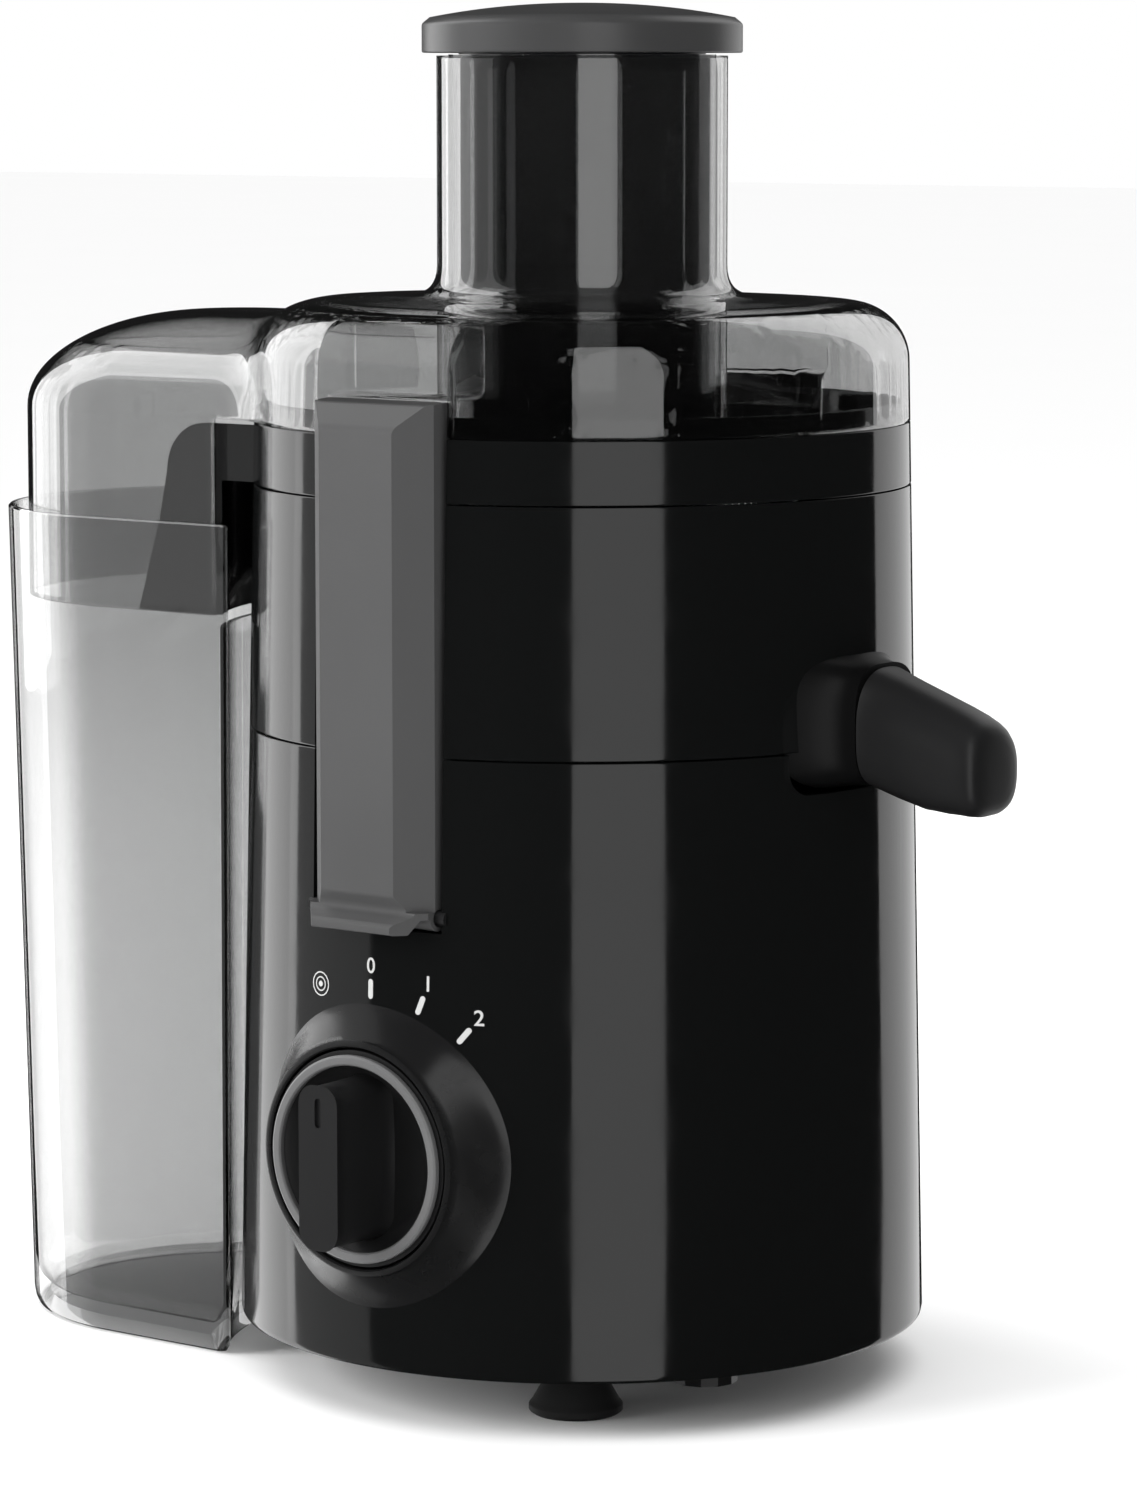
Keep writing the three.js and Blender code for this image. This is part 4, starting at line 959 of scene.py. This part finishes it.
lidWall = ("SOLIDIFY", {"thickness": lid["wall"] / 1000, "offset": -1.0, "use_even_offset": True,
                        "thickness_clamp": 1.0, "use_quality_normals": True})
finish("clearLid", makeLid(), "cover", clearLid, ["lid", "pulp_hood", "feed_tube"], 40, [lidWall])


def makeTubeInside():
    r, wall = lid["tube"], 2.4
    return spun(rounded([
        (r - wall, lid["tubeLow"], 1.0), (r, lid["tubeLow"], 1.0), (r, 299.0, 0), (r - wall, 299.0, 0),
    ]), 160)


finish("feedTubeInside", makeTubeInside(), "cover", clearLid, ())
print("lid made")


# Pusher
pusher = {"radius": 37.3, "low": edges("pusher_body")[0].z, "top": lid["tubeTop"] + 0.3, "wall": 2.4,
          "cap": 44.7, "capLow": lid["tubeTop"] + 0.6, "steps": 160}


def makePusherBody():
    r, low, top, wall = pusher["radius"], pusher["low"], pusher["top"], pusher["wall"]
    return spun(rounded([
        (0, low, 0), (r, low, 2.5), (r, low + 6, 0), (r, top, 0), (r - wall, top, 0.4),
        (r - wall, low + wall, 2), (0, low + wall, 0),
    ], False), pusher["steps"], False)


def makePusherCap():
    r, low, high = pusher["cap"], pusher["capLow"], capHigh.z
    path = rounded([
        (0, low + 0.2, 0), (34.0, low + 0.2, 0), (34.0, low - 5.5, 0.3), (34.4, low - 5.5, 0.3),
        (34.4, low + 0.2, 0), (r, low + 0.2, 0.6), (r, low + 8.2, 1.4), (r - 2.2, low + 10.0, 2.0),
    ], False)
    crown = [(r - 2.2, low + 10.0)]
    steps = 14
    for i in range(1, steps + 1):
        t = i / steps
        x = (r - 2.2) * (1 - t)
        crown.append((x, high - (high - low - 10.0) * (x / (r - 2.2)) ** 2.1))
    return spun(path[:-1] + crown, pusher["steps"], False)


finish("pusherBody", makePusherBody(), "pusher", pusherDark, ["pusher_body"])
finish("pusherCap", makePusherCap(), "pusher", capGrey, ["pusher_cap"])
print("pusher made")


# Pulp container
tub = {
    "radius": 66.0, "centre": boxLow.x + 66.0, "inner": drumAt(drum["bottom"]) + 2.3, "top": boxHigh.z,
    "floor": 7.2, "wall": 2.2, "taper": 0.909, "shift": -1.5, "cutTop": 211.0, "corner": 5.0,
}


def tubRing(z, inset):
    grow = tub["taper"] + (1 - tub["taper"]) * z / tub["top"]
    radius, inner = tub["radius"] - inset, tub["inner"] + inset
    half = math.degrees(math.asin(radius / inner))
    corner = tub["corner"] - min(inset, tub["wall"])
    outline = arc(tub["centre"], 0, radius, radius, 268, 92, 60)
    near = arc(0, 0, inner, inner, 180 - half, 180 + half, 40)
    # The two sharp corners next to the drum are rounded off a little.
    points = rounded([(x, y, corner if abs(abs(y) - radius) < 0.01 and x > tub["centre"] + 5 else 0)
                      for x, y in outline + near], True, 6)
    shift = tub["shift"] * (1 - z / tub["top"])
    return [(tub["centre"] + shift + (x - tub["centre"]) * grow, y * grow, z) for x, y in points]


def makeTub():
    wall, top = tub["wall"], tub["top"]
    # Height and inset of each ring: under the floor, up the outside, and down the inside to the floor.
    under = [(3.6, 6.5), (1.2, 5.4), (0.0, 4.4), (0.0, 3.2), (0.9, 1.3)]
    outside = [(2.6, 0.4), (5.0, 0)] + [(z, 0) for z in (60, 120, 180, 226, 235, top - 0.5)] + [(top, 0.5)]
    inside = [(top, wall - 0.5)] + [(z, wall) for z in (top - 0.5, 235, 226, 180, 120, 60, 14)]
    inside += [(9.5, wall + 1.0), (7.6, wall + 3.2), (tub["floor"], wall + 6.5)]
    bm = loft([tubRing(z, inset) for z, inset in under + outside + inside])
    half = tub["radius"] - wall - 0.4
    cut = block(-115, -40, -half, half, tub["cutTop"], 260)
    reach = tub["inner"] + wall * 2.2
    keep = spun([(0, 200), (reach, 200), (reach, 262), (0, 262)], 200, False)
    return carved(bm, [carved(cut, [keep], "INTERSECT", False)])


finish("pulpContainer", makeTub(), "container", clearBox, ["pulp_container"], 35)
print("container made")


# Cord gland at the back, and the plate under the motor
def makeGland():
    face = drumAt(gland["height"])
    path = rounded([
        (3.4, face - 6, 0), (9.0, face - 6, 0.4), (9.0, face - 4, 0.4), (6.4, face - 4, 0),
        (6.4, face + 2.6, 1.0), (5.6, face + 4.4, 0.6), (5.3, face + 4.4, 0.4), (5.3, face + 6.2, 0.4),
        (5.0, face + 6.2, 0.2), (4.8, face + 8.2, 0.3), (4.6, face + 8.2, 0.2), (4.5, face + 12, 0.8),
        (3.4, face + 12, 0.4),
    ])
    return moved(turned(spun(path, 64), -90, "X"), 0, 0, gland["height"])


finish("cordGland", makeGland(), "base", blackRubber, ["cord_gland"])

finishes = {
    satinBlack: ["base_plate", "speed_switch", "interlock_switch", "drive_coupling", "front_clamp_pin",
                 "rear_clamp_pin"],
    plainSteel: ["base_screw_1", "base_screw_2", "base_screw_3", "upper_bearing",
                 "lower_bearing", "motor_shaft", "dial_shaft"] + [f"mount_screw_{i}" for i in (1, 2, 3, 4)],
    laminations: ["stator_core", "armature_core"],
    copperWire: ["field_coil_1", "field_coil_2", "commutator"],
    palePlastic: ["lower_bracket", "upper_bracket", "brush_holder_1", "brush_holder_2", "cooling_fan",
                  "interlock_plunger"],
    carbonBlock: ["carbon_brush_1", "carbon_brush_2"],
    blackRubber: ["shaft_seal"] + [f"rubber_mount_{i}" for i in (1, 2, 3, 4)],
}
for material, nodes in finishes.items():
    for node in nodes:
        shape = bpy.data.objects[node]
        if not shape.material_slots:
            shape.data.materials.append(material)
        for slot in shape.material_slots:
            slot.material = material
print("carried nodes painted")


# Studio: a white room for what is seen directly, a dark one with tall soft panels for reflections
camera = {"azimuth": 37.0, "distance": 1.5008, "height": 0.3649, "pitch": 7.183, "yaw": -0.146, "lens": 128.3}


def around(azimuth, distance, height):
    turn = math.radians(azimuth)
    return Vector((drumAxis.x + math.sin(turn) * distance, drumAxis.y - math.cos(turn) * distance, height))


def placeCamera():
    data = bpy.data.cameras.new("camera")
    data.sensor_fit = "VERTICAL"
    data.sensor_height = 36
    data.lens = camera["lens"]
    data.clip_end = 60
    view = bpy.data.objects.new("camera", data)
    view.location = around(camera["azimuth"], camera["distance"], camera["height"])
    pitch, turn = 90 - camera["pitch"], camera["azimuth"] - camera["yaw"]
    view.rotation_euler = (math.radians(pitch), 0, math.radians(turn))
    bpy.context.scene.collection.objects.link(view)
    bpy.context.scene.camera = view


def panel(name, azimuth, distance, width, height, middle, power, seen=True):
    data = bpy.data.lights.new(name, "AREA")
    data.shape = "RECTANGLE"
    data.size = width
    data.size_y = height
    data.energy = power
    lamp = bpy.data.objects.new(name, data)
    lamp.location = around(azimuth, distance, middle)
    aim = around(azimuth, 0, middle) - lamp.location
    lamp.rotation_euler = aim.to_track_quat("-Z", "Y").to_euler()
    lamp.visible_camera = False
    lamp.visible_glossy = seen
    lamp.visible_transmission = seen
    bpy.context.scene.collection.objects.link(lamp)
    return lamp


placeCamera()
panel("frontPanel", 49, 1.8, 0.98, 4.4, 0.6, 17)
panel("leftPanel", -91.5, 1.6, 1.02, 4.4, 0.6, 30)
panel("dimPanel", -58, 1.6, 1.22, 4.4, 0.6, 8)
panel("backPanel", 178, 1.8, 1.4, 4.4, 0.6, 21)
panel("fillPanel", -35, 1.8, 1.2, 1.2, 0.7, 46, False)


def skyLight(strength):
    # Comes straight down and very soft, so the floor is evenly pale.
    data = bpy.data.lights.new("sky", "SUN")
    data.energy = strength
    data.angle = math.radians(80)
    lamp = bpy.data.objects.new("sky", data)
    lamp.visible_glossy = False
    lamp.visible_transmission = False
    bpy.context.scene.collection.objects.link(lamp)


skyLight(1.9)

floorMesh = bpy.data.meshes.new("floor")
floorShape = bmesh.new()
bmesh.ops.create_grid(floorShape, x_segments=1, y_segments=1, size=14)
floorShape.to_mesh(floorMesh)
floorShape.free()
floorPaint = Paint("paleFloor", (0.93, 0.93, 0.93), 0.85, **{"Specular IOR Level": 0.1})
floorCloud = floorPaint.noise(3, 2)
paleFloor = floorPaint.mixed(floorCloud, (0.95, 0.95, 0.95), (0.96, 0.96, 0.96))
bounced = floorPaint.add("ShaderNodeLightPath", output="Glossy Depth")
mirrored = floorPaint.add("ShaderNodeMath", {"operation": "GREATER_THAN"}, {0: bounced, 1: 0.5})
floorPaint.put("Base Color", floorPaint.mixed(mirrored, paleFloor, (0.01, 0.01, 0.01)))
floorMesh.materials.append(floorPaint.material)
floor = bpy.data.objects.new("floor", floorMesh)
floor.visible_glossy = False
bpy.context.scene.collection.objects.link(floor)

# White where it is looked at, softer as light, and dark in reflections
room = {"white": 1.0, "light": 0.45, "mirrored": 0.012}
world = bpy.data.worlds.new("studio")
world.use_nodes = True
world.node_tree.nodes.clear()
studio = Nodes(world.node_tree)
looked = studio.add("ShaderNodeLightPath", output="Is Camera Ray")
through = Wire(studio, looked.socket.node.outputs["Is Transmission Ray"])
bounced = Wire(studio, looked.socket.node.outputs["Glossy Depth"])
glossed = studio.add("ShaderNodeMath", {"operation": "GREATER_THAN"}, {0: bounced, 1: 0.5})
strength = room["light"] + (looked + through) * (room["white"] - room["light"])
bright = studio.add("ShaderNodeBackground", None, {"Strength": strength, "Color": (1, 1, 1, 1)})
dark = studio.add("ShaderNodeBackground", None, {"Strength": room["mirrored"], "Color": (1, 1, 1, 1)})
both = studio.add("ShaderNodeMixShader", None, {0: glossed, 1: bright, 2: dark})
studio.add("ShaderNodeOutputWorld", None, {"Surface": both}, None)
bpy.context.scene.world = world
bpy.context.scene.view_settings.view_transform = "Standard"
print("studio made")
